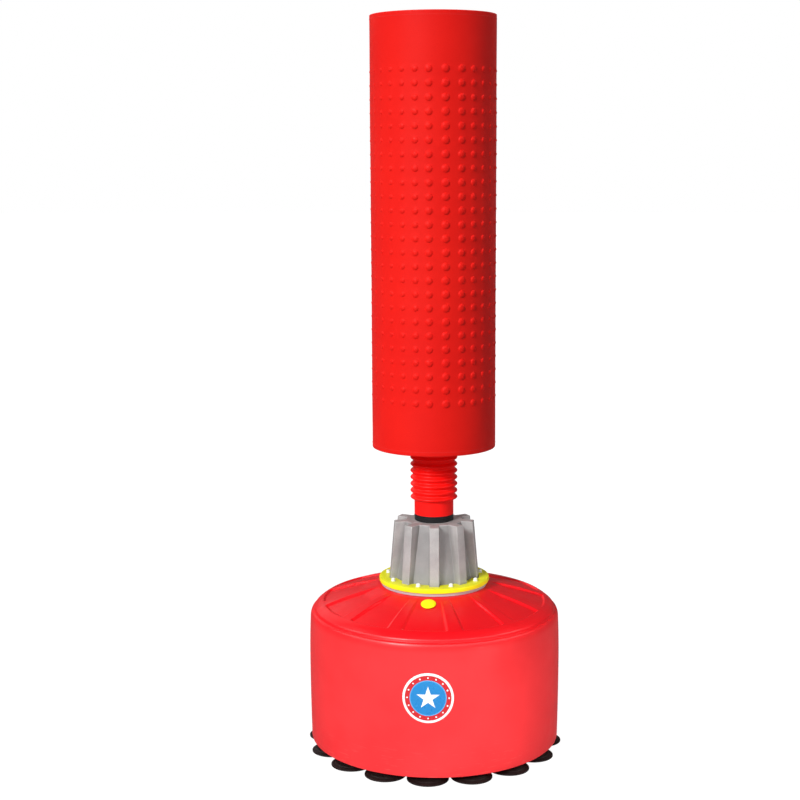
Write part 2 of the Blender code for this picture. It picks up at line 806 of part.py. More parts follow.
def make_pole_cap(materials):
    plug_r = POLE_BORE_R - 2 * GAP
    low = POLE_TOP + GAP
    outline = [
        (0.0, CAP_TOP),
        (POLE_R, CAP_TOP),
        (POLE_R, low),
        (plug_r, low),
        (plug_r, low - CAP_PLUG_DEPTH),
        (0.0, low - CAP_PLUG_DEPTH),
    ]
    return turned("pole_cap", outline, CAP_SEGMENTS, materials["plate_black"])


def make_padding(materials):
    """The foam column, the pad over its top and the plate under it."""
    foam = turned(
        "foam_core",
        [
            (FOAM_POCKET_R, FOAM_BOTTOM),
            (PADDING_R, FOAM_BOTTOM),
            (PADDING_R, FOAM_TOP),
            (FOAM_BORE_R, FOAM_TOP),
            (FOAM_BORE_R, FOAM_POCKET_TOP),
            (FOAM_POCKET_R, FOAM_POCKET_TOP),
        ],
        PADDING_SEGMENTS,
        materials["foam_white"],
    )
    pad_low = FOAM_TOP + GAP
    pad_top = BAG_TOP - COVER_T - 3 * GAP
    pad = turned(
        "top_pad",
        [(0.0, pad_low), (PADDING_R, pad_low), (PADDING_R, pad_top), (0.0, pad_top)],
        PADDING_SEGMENTS,
        materials["foam_white"],
    )
    plate_low, plate_top = PLATE_Z
    plate = turned(
        "bottom_plate",
        tube_outline(FOAM_BORE_R, PADDING_R, plate_low, plate_top),
        PADDING_SEGMENTS,
        materials["plate_black"],
    )
    return foam, pad, plate


def make_cover(materials):
    leather = materials["cover_leather"]
    inner_r = BAG_R - COVER_T
    side = turned(
        "cover_side",
        tube_outline(inner_r, BAG_R, BAG_BOTTOM, BAG_TOP),
        BAG_SEGMENTS,
        leather,
    )
    top_low = BAG_TOP - COVER_T - GAP
    top = turned(
        "cover_top",
        [(0.0, top_low), (PADDING_R, top_low), (PADDING_R, BAG_TOP - GAP), (0.0, BAG_TOP - GAP)],
        BAG_SEGMENTS,
        leather,
    )
    bottom_low = BAG_BOTTOM + GAP
    bottom = turned(
        "cover_bottom",
        tube_outline(COVER_HOLE_R, PADDING_R, bottom_low, bottom_low + COVER_T),
        BAG_SEGMENTS,
        leather,
    )
    return side, top, bottom


def make_zip_tape(materials):
    """A strip that follows the cover down its back."""
    angles = [ZIP_HALF_ANGLE * k / 2 for k in (-2, -1, 0, 1, 2)]
    outline = [(ZIP_R + ZIP_T, a) for a in angles] + [(ZIP_R, a) for a in reversed(angles)]
    sections = [[Vector((r * math.sin(a), r * math.cos(a), z)) for r, a in outline] for z in ZIP_Z]
    bm = skin(sections, closed=False)
    bmesh.ops.holes_fill(bm, edges=[e for e in bm.edges if e.is_boundary])
    return add_object("zip_tape", bm, materials["zip_tape"])


def make_block(name, size, middle, material=None):
    bm = bmesh.new()
    bmesh.ops.create_cube(bm, size=1.0)
    bmesh.ops.scale(bm, vec=size, verts=bm.verts)
    bmesh.ops.translate(bm, vec=middle, verts=bm.verts)
    return add_object(name, bm, material)


def join(piece, *additions):
    """Adds shapes to a piece with unions; the shapes themselves are only guides."""
    for added in additions:
        modifier = piece.modifiers.new("join_" + added.name, "BOOLEAN")
        modifier.operation = "UNION"
        modifier.solver = "EXACT"
        modifier.object = hide_cutter(added)


def slider_front():
    """How far back the zip slider's outer face stands."""
    return ZIP_R + ZIP_T + GAP + SLIDER_SIZE[1]


def pull_place():
    """The middle of the barrel that the zip's pull turns on."""
    return Vector((0, slider_front() + LUG_SIZE[1] / 2, SLIDER_Z))


def make_zip_slider(materials):
    """The slider's body, with two lugs for its pull."""
    middle = (0, slider_front() - SLIDER_SIZE[1] / 2, SLIDER_Z)
    slider = make_block("zip_slider", SLIDER_SIZE, middle, materials["bright_steel"])
    lug_y = slider_front() + LUG_SIZE[1] / 2 - JOIN_OVERLAP
    lugs = [
        make_block(f"{side}_lug_guide", LUG_SIZE, (sign * LUG_SPACING / 2, lug_y, SLIDER_Z))
        for side, sign in (("left", -1), ("right", 1))
    ]
    join(slider, *lugs)
    return slider, *lugs


def make_zip_pull(materials):
    """The tab, hanging from a barrel between the slider's lugs."""
    place = pull_place()
    half = PULL_BARREL_LENGTH / 2
    barrel = cylinder_sections(PULL_BARREL_R, -half, half, PULL_BARREL_SEGMENTS)
    bm = skin(barrel, closed=False)
    bmesh.ops.rotate(bm, matrix=Matrix.Rotation(math.pi / 2, 3, "Y"), verts=bm.verts)
    bmesh.ops.translate(bm, vec=place, verts=bm.verts)
    pull = add_object("zip_pull", bm, materials["bright_steel"])
    neck_z = place.z - PULL_NECK_SIZE[2] / 2
    neck = make_block("pull_neck_guide", PULL_NECK_SIZE, (0, place.y, neck_z))
    tab_z = place.z - PULL_NECK_SIZE[2] - PULL_TAB_SIZE[2] / 2 + JOIN_OVERLAP
    tab = make_block("pull_tab_guide", PULL_TAB_SIZE, (0, place.y, tab_z))
    join(pull, neck, tab)
    return pull, neck, tab


def main():
    clear_scene()
    materials = make_materials()

    bolt_holes = row_of_cylinders(
        "bolt_hole_cutter", BOLT_HOLE_R, BOLT_HOLE_BOTTOM, RING_TOP + BOLT_HEAD_H, bolt_places()
    )
    make_tank(materials, bolt_holes)
    make_suction_cups(materials)
    make_filler_plug(materials)
    make_badge(materials)
    make_hub(materials, bolt_holes)
    make_clamp_ring(materials, bolt_holes)
    make_clamp_bolts(materials)
    make_hub_stud(materials)
    make_lower_spring_seat(materials)
    make_seal_ring(materials)

    lower_axis = add_axis("axis_spring_lower", (0, 0, LOWER_HINGE_Z))
    carry(lower_axis, make_bellows(materials))
    spring = make_coil_spring(materials)
    spring.parent = lower_axis
    spring.matrix_parent_inverse = Matrix.Translation(-world_place(lower_axis))

    cross_hole = make_cross_bolt_cutter()
    upper_axis = add_axis("axis_spring_upper", (0, 0, UPPER_HINGE_Z), lower_axis)
    carry(upper_axis, make_upper_spring_seat(materials, cross_hole))
    carry(upper_axis, make_pole(materials, cross_hole))
    carry(upper_axis, *make_cross_bolt(materials), make_pole_cap(materials))
    carry(upper_axis, *make_padding(materials), *make_cover(materials))
    carry(upper_axis, make_zip_tape(materials))

    slider_axis = add_axis("axis_zip_slider", (0, ZIP_R, SLIDER_Z), upper_axis)
    carry(slider_axis, *make_zip_slider(materials))
    pull_axis = add_axis("axis_zip_pull", pull_place(), slider_axis)
    carry(pull_axis, *make_zip_pull(materials))


main()
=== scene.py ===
"""Looks of a free standing training bag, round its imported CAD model. Metres, +Z up, front at -Y."""

import json
import math

import bmesh
import bpy
import numpy as np
from mathutils import Matrix, Vector, noise


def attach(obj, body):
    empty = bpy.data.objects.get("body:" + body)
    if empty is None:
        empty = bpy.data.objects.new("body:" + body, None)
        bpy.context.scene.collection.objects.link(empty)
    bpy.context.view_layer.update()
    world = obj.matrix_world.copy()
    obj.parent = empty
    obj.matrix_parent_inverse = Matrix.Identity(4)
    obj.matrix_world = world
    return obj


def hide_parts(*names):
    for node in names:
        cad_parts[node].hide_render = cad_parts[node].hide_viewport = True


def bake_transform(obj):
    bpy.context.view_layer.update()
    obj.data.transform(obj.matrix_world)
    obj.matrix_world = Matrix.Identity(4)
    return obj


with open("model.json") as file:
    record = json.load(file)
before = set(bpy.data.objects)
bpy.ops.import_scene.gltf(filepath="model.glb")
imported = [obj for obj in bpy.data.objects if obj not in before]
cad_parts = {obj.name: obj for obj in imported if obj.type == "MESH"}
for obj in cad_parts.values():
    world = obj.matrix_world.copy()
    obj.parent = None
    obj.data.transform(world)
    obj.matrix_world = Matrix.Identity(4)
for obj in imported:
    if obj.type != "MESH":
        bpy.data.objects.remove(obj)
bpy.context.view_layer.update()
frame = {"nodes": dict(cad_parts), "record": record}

GAP = 0.0003  # between neighbouring pieces, as in the CAD
TURN = 2 * math.pi

# Base tank.
TANK_BOTTOM = 0.015
TANK_SIDE_R = 0.256
TANK_BULGE_R = 0.258
TANK_BULGE_Z = 0.187
TANK_SHOULDER_Z = 0.2720
TANK_FOOT_Z = 0.0175
DOME_START_R = 0.110
DOME_TOP = 0.335
DOME_SLOPE = 0.181
DOME_CURVE = 0.78
DOME_END_R = 0.2335
RIM_LIP = (0.2515, 0.2838)
CUPS = 16
CUP_CIRCLE_R = 0.222
CUP_TURN = math.radians(1.4)  # this and the other turns are from the front
PANELS = 12
PANEL_HALF = math.radians(11.7)
PANEL_FLOOR_HALF = math.radians(10.4)
PANEL_INNER_R = 0.117
PANEL_DEEP_R = 0.150
PANEL_FLOOR_END_R = 0.2245
PANEL_OUTER_R = 0.2286
PANEL_DEPTH = 0.0040
CAVITY = (
    (0.0, 0.3130), (0.1190, 0.3130), (0.1235, 0.3215), (0.1750, 0.3060), (0.2150, 0.2965),
    (0.2340, 0.2920), (0.2435, 0.2825), (0.2505, 0.2680), (0.2525, TANK_BULGE_Z),
    (0.2505, 0.0340), (0.2460, 0.0290), (0.0, 0.0290),
)

# Badge, bent round the tank's side.
BADGE_TURN = math.radians(2.1)
BADGE_WRAP_R = 0.2584
BADGE_Z = 0.178
BADGE_T = 0.0010
BADGE_BANDS = (0.0450, 0.0360, 0.0339)  # outer limits of the red ring, the pale ring and the blue
STAR_R = 0.0235
PRINT_T = 0.00022  # how far the star and the dots stand up

# Filler plug, square to the floor of the front panel.
FILLER_R = 0.1355
PLUG_HEAD_R = 0.0150
PLUG_STEM_R = 0.0105

# Hub, clamp ring and bolts.
FINS = 9
FIN_TURN = math.radians(5.2)
FIN_WIDTH = 0.0195
FIN_FOOT_R = 0.0925
FIN_TOP_R = 0.0815
CORE_FOOT_R = 0.0795
CORE_TOP_R = 0.058
HUB_FOOT_Z = 0.3425  # where the fins stand on the flange
HUB_TOP = 0.470
RING_R = 0.113
RING_LOW = 0.3428
RING_TOP = 0.3520
BOLT_CIRCLE_R = 0.0965
BOLT_TURN = FIN_TURN + math.pi / FINS
BOLT_HOLE_R = 0.0032

# Neck.
SPLIT_Z = 0.56609  # a valley of the bellows, where its two halves meet
RIB_PITCH = 0.01374
FIRST_RIB_Z = 0.5180
RIB_COUNT = 8
CUFF_R = 0.040
RIB_R = 0.0482
VALLEY_R = 0.0425
BELLOWS_WALL = 0.0026
BELLOWS_Z = (0.4833, 0.6262)
COIL_Z = (0.4813, 0.6037)

# Column cover and its nubs.
BAG_R = 0.125
BAG_LOW = 0.624
BAG_TOP = 1.480
COVER_T = 0.0022
SEAM_IN = 0.0056  # the stitches on the end panels, in from the rim
PADDING_R = 0.1222
NUB_FACING = math.radians(15.8)  # the nubs' middle column
NUB_FIRST_STEP = math.radians(14.9)
NUB_STEP = math.radians(12.4)
NUB_DIAMETERS = (0.0154, 0.0140, 0.0122, 0.0104, 0.0088, 0.0070, 0.0048)
NUB_ROWS = 25
NUB_PITCH = 0.0268
NUB_LOW_Z = 0.7285
ZIP_HALF = math.radians(5.5)
ZIP_R = 0.1254
ZIP_Z = (0.640, 1.464)
SLIDER_Z = 0.652
PULL_Y = 0.1330

# Light. Strengths of the world as polished surfaces see it come first.
MIRROR_FRONT = 0.9
MIRROR_BACK = 0.12
MIRROR_PANEL = 7.0
MIRROR_STRIP = 0.8
WORLD_HORIZON = 0.40
WORLD_ZENITH = 0.33
FLOOR_GLOW = 0.97
KEY_AZIMUTH, KEY_ELEVATION, KEY_SIZE = (math.radians(a) for a in (-29.6, 31.0, 14.0))
KEY_STRENGTH = 3.1
FILL_PLACE = (1.05, -0.95, 0.05)
FILL_TARGET = (0.0, 0.0, 0.11)
FILL_SIZE = (0.7, 0.3)
FILL_SPREAD = math.radians(36.0)
FILL_WATTS = 0.72

# Camera.
CAMERA_TURN = math.radians(4.8)
CAMERA_DISTANCE = 3.1251
CAMERA_HEIGHT = 1.2077
CAMERA_YAW = math.radians(1.258)
CAMERA_PITCH = math.radians(8.906)
CAMERA_ROLL = math.radians(-0.3105)
LENS_MM = 70.018
SENSOR_MM = 36.0


# ---------- materials


class Nodes:
    """Adds shader nodes to a material or a world."""

    def __init__(self, tree):
        self.tree = tree

    def node(self, kind, inputs=(), **settings):
        made = self.tree.nodes.new(kind)
        for key, value in settings.items():
            setattr(made, key, value)
        for key, value in dict(inputs).items():
            if isinstance(value, bpy.types.NodeSocket):
                self.tree.links.new(value, made.inputs[key])
            else:
                made.inputs[key].default_value = value
        return made

    def maths(self, operation, first, second):
        return self.node("ShaderNodeMath", {0: first, 1: second}, operation=operation).outputs[0]

    def spread(self, value, low, high, to_low=0.0, to_high=1.0, **settings):
        inputs = {0: value, 1: low, 2: high, 3: to_low, 4: to_high}
        return self.node("ShaderNodeMapRange", inputs, **settings).outputs[0]

    def axes(self, vector):
        return self.node("ShaderNodeSeparateXYZ", {0: vector}).outputs


class Paint(Nodes):
    """A Principled material whose colour, roughness and relief come from nodes."""

    def __init__(self, name, **uniform):
        self.material = bpy.data.materials.new(name)
        self.material.use_nodes = True
        super().__init__(self.material.node_tree)
        self.shader = self.tree.nodes["Principled BSDF"]
        for socket, value in uniform.items():
            self.shader.inputs[socket.replace("_", " ")].default_value = value
        self.place = self.node("ShaderNodeTexCoord").outputs["Object"]
        self.relief = None

    def stretched(self, scale):
        """Object coordinates scaled by a vector."""
        return self.node("ShaderNodeMapping", {"Vector": self.place, "Scale": scale}).outputs[0]

    def texture(self, kind, scale, at=None, more=(), **settings):
        inputs = {"Vector": at or self.place, "Scale": scale, **dict(more)}
        return self.node(kind, inputs, **settings).outputs

    def noise(self, scale, detail=3.0, at=None):
        return self.texture("ShaderNodeTexNoise", scale, at, {"Detail": detail})[0]

    def cells(self, scale, feature="F1"):
        return self.texture("ShaderNodeTexVoronoi", scale, feature=feature)["Distance"]

    def waves(self, scale, direction):
        return self.texture("ShaderNodeTexWave", scale, bands_direction=direction)[1]

    def height(self):
        return self.axes(self.place)[2]

    def colour(self, first, second, share):
        """Mixes two colours, or a colour and the mix made before when first is None."""
        base = self.mixed if first is None else (*first, 1.0)
        inputs = {0: share, 6: base, 7: (*second, 1.0)}
        self.mixed = self.node("ShaderNodeMix", inputs, data_type="RGBA").outputs[2]
        self.tree.links.new(self.mixed, self.shader.inputs["Base Color"])
        return self

    def rough(self, value, low, high):
        spread = self.spread(value, 0.3, 0.7, low, high)
        self.tree.links.new(spread, self.shader.inputs["Roughness"])
        return self

    def bump(self, height, depth):
        inputs = {"Height": height, "Distance": depth}
        if self.relief is not None:
            inputs["Normal"] = self.relief
        self.relief = self.node("ShaderNodeBump", inputs).outputs[0]
        self.tree.links.new(self.relief, self.shader.inputs["Normal"])
        return self


def moulded(name, dark, light, roughness, grain=420.0, depth=0.00006, **uniform):
    """Moulded plastic or rubber: faint clouding, a fine spark-eroded grain and uneven gloss."""
    paint = Paint(name, **uniform)
    paint.colour(dark, light, paint.spread(paint.noise(7.0), 0.35, 0.65))
    paint.rough(paint.noise(55.0, 5.0), roughness - 0.05, roughness + 0.06)
    paint.bump(paint.noise(grain, 4.0), depth)
    return paint.bump(paint.noise(grain * 4.5, 2.0), depth * 0.4)


def make_tank_paint():
    paint = moulded(
        "red_polyethylene", (0.88, 0.028, 0.033), (0.95, 0.038, 0.043), 0.33,
        grain=260.0, depth=0.00007, Specular_IOR_Level=0.30,
    )
    # Painted shading: the dome is painted a deeper red than the sides, standing in for the paler sheen
    # that light lays on the sides.
    paint.colour(None, (0.88, 0.004, 0.010), paint.spread(paint.height(), 0.266, 0.288))
    # Handling marks near the floor: thin scratches and a duller skin.
    low = paint.spread(paint.height(), 0.02, 0.09, 1.0, 0.0)
    scratch = paint.spread(paint.noise(38.0, 6.0, paint.stretched((1.0, 1.0, 9.0))), 0.60, 0.66)
    marks = paint.maths("MULTIPLY", low, scratch)
    return paint.colour(None, (0.93, 0.12, 0.11), paint.maths("MULTIPLY", marks, 0.35))


def make_leather_paint():
    paint = Paint(
        "red_leathercloth", Specular_IOR_Level=0.12, Sheen_Weight=0.02, Sheen_Roughness=0.4
    )
    tone = paint.spread(paint.noise(5.0), 0.3, 0.7)
    paint.colour((0.74, 0.007, 0.005), (0.82, 0.011, 0.006), tone)
    pores = paint.cells(620.0, "DISTANCE_TO_EDGE")
    creases = paint.spread(pores, 0.0, 0.18)
    paint.colour(None, (0.58, 0.006, 0.004), paint.spread(creases, 0.0, 0.6, 0.35, 0.0))
    paint.rough(paint.noise(90.0, 5.0), 0.46, 0.58)
    paint.bump(creases, 0.00005)
    return paint.bump(paint.noise(1500.0, 3.0), 0.00003)


def make_cast_paint():
    paint = Paint("cast_aluminium", Metallic=0.15, Specular_IOR_Level=0.45)
    clouds = paint.spread(paint.noise(26.0, 6.0), 0.3, 0.7)
    paint.colour((0.300, 0.294, 0.292), (0.410, 0.401, 0.397), clouds)
    # Painted shade: darker towards the roots of the fins and on the core between them, where the fins
    # shade it, with less of it just under the top.
    level = {0: paint.stretched((1.0, 1.0, 0.0))}
    across = paint.node("ShaderNodeVectorMath", level, operation="LENGTH").outputs["Value"]
    core = paint.spread(paint.height(), HUB_FOOT_Z, HUB_TOP, 0.0765, 0.0560)
    root = paint.spread(paint.maths("SUBTRACT", across, core), 0.001, 0.014, 1.0, 0.0)
    painted_root_shade = paint.maths("MULTIPLY", root, paint.spread(paint.height(), 0.4675, 0.4690, 1.0, 0.25))
    paint.colour(None, (0.145, 0.142, 0.141), paint.maths("MULTIPLY", painted_root_shade, 0.68))
    # The flange, darker pores in the skin, and edges rubbed bright.
    paint.colour(None, (0.32, 0.31, 0.37), paint.spread(paint.height(), 0.3423, 0.3426, 0.75, 0.0))
    pores = paint.spread(paint.noise(900.0, 2.0), 0.56, 0.72, 0.0, 0.6)
    paint.colour(None, (0.25, 0.235, 0.23), pores)
    edge = paint.node("ShaderNodeNewGeometry").outputs["Pointiness"]
    paint.colour(None, (0.66, 0.64, 0.63), paint.spread(edge, 0.53, 0.60, 0.0, 0.55))
    paint.rough(paint.noise(120.0, 5.0), 0.50, 0.66)
    paint.bump(paint.noise(330.0, 6.0), 0.00028)
    return paint.bump(paint.noise(1300.0, 3.0), 0.00010)


def make_steel_paint(name, colour=(0.56, 0.56, 0.57), roughness=0.30):
    """Plated steel with drawn lines round and along it."""
    paint = Paint(name, Metallic=1.0)
    lines = paint.noise(160.0, 6.0, paint.stretched((1.0, 1.0, 14.0)))
    paint.colour(tuple(c * 0.88 for c in colour), colour, paint.spread(lines, 0.35, 0.65))
    paint.rough(paint.noise(70.0, 4.0), roughness - 0.06, roughness + 0.08)
    return paint.bump(lines, 0.00003)


def make_cup_paint():
    paint = moulded(
        "black_rubber", (0.006, 0.0030, 0.0028), (0.009, 0.0045, 0.0042), 0.50, grain=500.0,
        Specular_IOR_Level=0.12,
    )
    dust = paint.spread(paint.noise(60.0, 6.0), 0.56, 0.74, 0.0, 0.35)
    return paint.colour(None, (0.030, 0.025, 0.023), dust)


def make_foam_paint():
    paint = Paint("white_foam", Roughness=0.95, Specular_IOR_Level=0.2)
    pores = paint.cells(520.0)
    paint.colour((0.60, 0.59, 0.54), (0.86, 0.85, 0.81), paint.spread(pores, 0.15, 0.55))
    return paint.bump(pores, 0.0007)


def make_weave_paint():
    """Zip tape: two crossed sets of fine ribs."""
    paint = Paint("zip_cloth", Specular_IOR_Level=0.2, Sheen_Weight=0.3, Sheen_Roughness=0.5)
    weave = paint.maths("MULTIPLY", paint.waves(330.0, "Z"), paint.waves(330.0, "X"))
    paint.colour((0.17, 0.006, 0.006), (0.42, 0.018, 0.014), weave)
    paint.rough(paint.noise(200.0), 0.75, 0.9)
    return paint.bump(weave, 0.00022)


def make_paints():
    """Every material, by the slot or the name it goes by."""
    paints = {
        "tank_plastic": make_tank_paint(),
        "cover_leather": make_leather_paint(),
        "hub_metal": make_cast_paint(),
        "cup_rubber": make_cup_paint(),
        "bright_steel": make_steel_paint("plated_steel"),
        "foam_white": make_foam_paint(),
        "zip_fabric": make_weave_paint(),
        "zip_metal": make_steel_paint("nickel_zip", (0.66, 0.65, 0.62), 0.26),
    }
    dull, film = {"Specular_IOR_Level": 0.2}, {"depth": 0.00002}
    sleeve = {"grain": 600.0, "depth": 0.00004, "Specular_IOR_Level": 0.18}
    for use, name, dark, light, roughness, options in (
        ("bellows_rubber", "red_rubber", (0.95, 0.004, 0.004), (0.98, 0.008, 0.006), 0.38, sleeve),
        ("ring_plastic", "yellow_plastic", (0.84, 0.84, 0.008), (0.93, 0.93, 0.014), 0.40, dull),
        ("plug_plastic", "yellow_plug", (0.94, 0.90, 0.006), (0.98, 0.95, 0.012), 0.36, dull),
        ("bolt_plastic", "white_nylon", (0.80, 0.80, 0.79), (0.92, 0.92, 0.91), 0.35, {}),
        ("seal_rubber", "seal_rubber", (0.005, 0.005, 0.006), (0.009, 0.009, 0.010), 0.45,
         {"Specular_IOR_Level": 0.15}),
        ("plate_black", "black_board", (0.016, 0.016, 0.017), (0.03, 0.03, 0.03), 0.6, {}),
        ("thread", "red_thread", (0.60, 0.012, 0.010), (0.74, 0.02, 0.014), 0.6, {"grain": 2500.0}),
        ("zip_teeth", "red_nylon", (0.40, 0.012, 0.010), (0.52, 0.018, 0.014), 0.36, {}),
        ("white_film", "white_film", (0.86, 0.86, 0.86), (0.93, 0.93, 0.93), 0.28, film),
        ("red_film", "red_film", (0.56, 0.012, 0.018), (0.62, 0.016, 0.022), 0.28, film),
        ("blue_film", "blue_film", (0.008, 0.185, 0.50), (0.014, 0.235, 0.58), 0.28, film),
        ("pale_blue_film", "pale_film", (0.07, 0.32, 0.66), (0.10, 0.38, 0.72), 0.28, film),
    ):
        paints[use] = moulded(name, dark, light, roughness, **options)
    return {use: paint.material for use, paint in paints.items()}


# ---------- geometry helpers


def rounded(corners, steps=4):
    """Rounds a closed outline of (x, y, radius); a corner of no radius stays sharp."""
    out = []
    for k, (x, y, radius) in enumerate(corners):
        here = Vector((x, y))
        if not radius:
            out.append(here)
            continue
        before = Vector(corners[k - 1][:2]) - here
        after = Vector(corners[(k + 1) % len(corners)][:2]) - here
        reach = radius / math.tan(before.angle(after) / 2)
        reach = min(reach, 0.48 * before.length, 0.48 * after.length)
        first = here + before.normalized() * reach
        last = here + after.normalized() * reach
        for s in range(steps + 1):
            t = s / steps
            out.append(first * (1 - t) ** 2 + here * 2 * t * (1 - t) + last * t * t)
    return out


def ring(radius, z, count, turn=0.0):
    return [
        (radius * math.sin(turn + a), -radius * math.cos(turn + a), z)
        for a in (TURN * k / count for k in range(count))
    ]


def loft(rings, closed=False):
    """Vertices and faces over rings of points, in order; a ring of one point is a tip."""
    verts, starts, faces = [], [], []
    for points in rings:
        starts.append(len(verts))
        verts.extend(tuple(p) for p in points)
    for a in range(len(rings) if closed else len(rings) - 1):
        b = (a + 1) % len(rings)
        count = max(len(rings[a]), len(rings[b]))
        for k in range(count if count > 1 else 0):
            n = (k + 1) % count
            low = [starts[a]] if len(rings[a]) == 1 else [starts[a] + k, starts[a] + n]
            high = [starts[b]] if len(rings[b]) == 1 else [starts[b] + n, starts[b] + k]
            faces.append(low + high)
    return verts, faces


def revolve(outline, count):
    """A closed outline of (radius, z) turned about Z."""
    return loft([[(0, 0, z)] if r < 1e-9 else ring(r, z, count) for r, z in outline], closed=True)


def merged(parts):
    """Several (vertices, faces) as one."""
    verts, faces = [], []
    for part_verts, part_faces in parts:
        shift = len(verts)
        verts.extend(part_verts)
        faces.extend([i + shift for i in face] for face in part_faces)
    return verts, faces


def moved(part, matrix):
    verts, faces = part
    return [tuple(matrix @ Vector(v)) for v in verts], faces


def make_mesh(name, part, sharp=32.0):
    verts, faces = part
    mesh = bpy.data.meshes.new(name)
    mesh.from_pydata(verts, [], faces)
    bm = bmesh.new()
    bm.from_mesh(mesh)
    bmesh.ops.recalc_face_normals(bm, faces=bm.faces)
    bm.to_mesh(mesh)
    bm.free()
    mesh.shade_smooth()
    mesh.set_sharp_from_angle(angle=math.radians(sharp))
    return mesh


def link(name, data):
    """A new object in the scene with this mesh, light or camera."""
    made = bpy.data.objects.new(name, data)
    bpy.context.scene.collection.objects.link(made)
    return made


def add(name, part, sharp=32.0):
    return link(name, part if isinstance(part, bpy.types.Mesh) else make_mesh(name, part, sharp))


def finish_piece(made, body, slot, node=None, paint=None):
    """Gives a piece the material of its slot (or the paint named), hides the CAD node it stands for, and
    puts it on its body.
    """
    if not made.data.materials:
        made.data.materials.append(paints[paint or slot])
    if node:
        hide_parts(node)
    if body:
        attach(made, body)
    return made


def piece(name, part, body, slot, node=None, paint=None, sharp=32.0, cutters=()):
    made = add(name, part, sharp)
    if cutters:
        subtract(made, cutters, sharp)
    return finish_piece(made, body, slot, node, paint)


def subtract(made, cutters, sharp=32.0):
    """Cuts shapes out of a piece and applies the result."""
    tools = []
    for k, part in enumerate(cutters):
        tool = add(f"{made.name}_cutter_{k}", part)
        modifier = made.modifiers.new(tool.name, "BOOLEAN")
        modifier.operation = "DIFFERENCE"
        modifier.solver = "EXACT"
        modifier.object = tool
        tools.append(tool)
    evaluated = made.evaluated_get(bpy.context.evaluated_depsgraph_get())
    mesh = bpy.data.meshes.new_from_object(evaluated)
    made.modifiers.clear()
    made.data = mesh
    mesh.shade_smooth()
    mesh.set_sharp_from_angle(angle=math.radians(sharp))
    for tool in tools:
        bpy.data.objects.remove(tool)


def upright_cylinders(radius, low, high, places):
    pin = revolve([(0.0, low), (radius, low), (radius, high), (0.0, high)], 20)
    return merged([moved(pin, Matrix.Translation((x, y, 0))) for x, y in places])


def bolt_holes(low, high):
    return upright_cylinders(BOLT_HOLE_R, low, high, around(FINS, BOLT_CIRCLE_R, BOLT_TURN))


def around(count, radius, turn=0.0):
    return [(x, y) for x, y, _ in ring(radius, 0.0, count, turn)]


# ---------- base


def soft_ramp(x, low, high, blur):
    """0 below low, 1 above high, straight between, with both corners rounded over blur each way."""

    def area(v):
        t = np.clip((v - low) / (high - low), 0.0, 1.0)
        return (high - low) * t * t / 2 + np.maximum(v - high, 0.0)

    return (area(x + blur) - area(x - blur)) / (2 * blur)


def dome_z(radius):
    """Height of the crowned dome."""
    out = max(radius - DOME_START_R, 0.0)
    return DOME_TOP - DOME_SLOPE * out - DOME_CURVE * out * out


def tank_profile():
    """The tank's outside from its seat to its underside, as rows of (radius, z)."""
    inner = [0.0, 0.110, 0.1125, 0.1145, 0.1155, 0.1162, 0.117, 0.1178, 0.119, 0.121, 0.124, 0.128]
    inner += [*np.arange(0.132, 0.2200, 0.005), *np.arange(0.2215, 0.2316, 0.0005), DOME_END_R]
    rows = [(r, dome_z(r)) for r in inner]
    (lip_r, lip_z), steps = RIM_LIP, 10
    # Two steps down over the rim, then the shoulder.
    rim = rounded(
        [
            (*rows[-1], 0.0), (0.2400, 0.2964, 0.0030), (0.2474, 0.2905, 0.0070),
            (0.2488, 0.2848, 0.0012), (0.2502, 0.2839, 0.0010), (lip_r, lip_z, 0.0),
            (DOME_END_R, lip_z, 0.0),
        ],
        steps=6,
    )[1:-2]
    rows += [tuple(p) for p in rim]
    for k in range(steps + 1):
        a = math.pi / 2 * k / steps
        r = lip_r + (TANK_SIDE_R - lip_r) * math.sin(a)
        rows.append((r, TANK_SHOULDER_Z + (lip_z - TANK_SHOULDER_Z) * math.cos(a) ** 1.4))
    for k in range(1, 16):
        z = TANK_SHOULDER_Z + (TANK_FOOT_Z - TANK_SHOULDER_Z) * k / 15
        span = TANK_BULGE_Z - (TANK_SHOULDER_Z if z > TANK_BULGE_Z else TANK_FOOT_Z)
        rows.append((TANK_BULGE_R - 0.002 * ((z - TANK_BULGE_Z) / span) ** 2, z))
    return [*rows, (0.2556, 0.0160), (0.2548, 0.0153), (0.2538, TANK_BOTTOM), (0.0, TANK_BOTTOM)]


def panel_columns():
    """Angles round the tank, close together over the panels' side walls."""
    half = [0.0, 2.0, 4.0, 6.0, 8.0, 9.2, 9.8]
    half += list(np.arange(10.05, 12.06, 0.25)) + [12.5, 13.2, 14.1]
    degrees = [-d for d in reversed(half[1:])] + half + [15.0]
    step = TURN / PANELS
    return np.array([step * k + math.radians(d) for k in range(PANELS) for d in degrees])


def panel_depth(radius, angle):
    """How far the dome is sunk at each point."""
    step = TURN / PANELS
    from_middle = np.abs((angle + step / 2) % step - step / 2)
    inward = soft_ramp(radius, PANEL_INNER_R, PANEL_DEEP_R, 0.0008)
    end = 1.0 - soft_ramp(radius, PANEL_FLOOR_END_R, PANEL_OUTER_R, 0.0010)
    side = 1.0 - soft_ramp(from_middle, PANEL_FLOOR_HALF, PANEL_HALF, math.radians(0.22))
    return PANEL_DEPTH * inward * end * side


def filler_frame():
    """A frame on the filler's axis, with its origin on the panel's floor."""
    sinking = PANEL_DEPTH / (PANEL_DEEP_R - PANEL_INNER_R)
    slope = DOME_SLOPE + 2 * DOME_CURVE * (FILLER_R - DOME_START_R) + sinking
    height = dome_z(FILLER_R) - sinking * (FILLER_R - PANEL_INNER_R)
    return Matrix.Translation((0, -FILLER_R, height)) @ Matrix.Rotation(math.atan(slope), 4, "X")


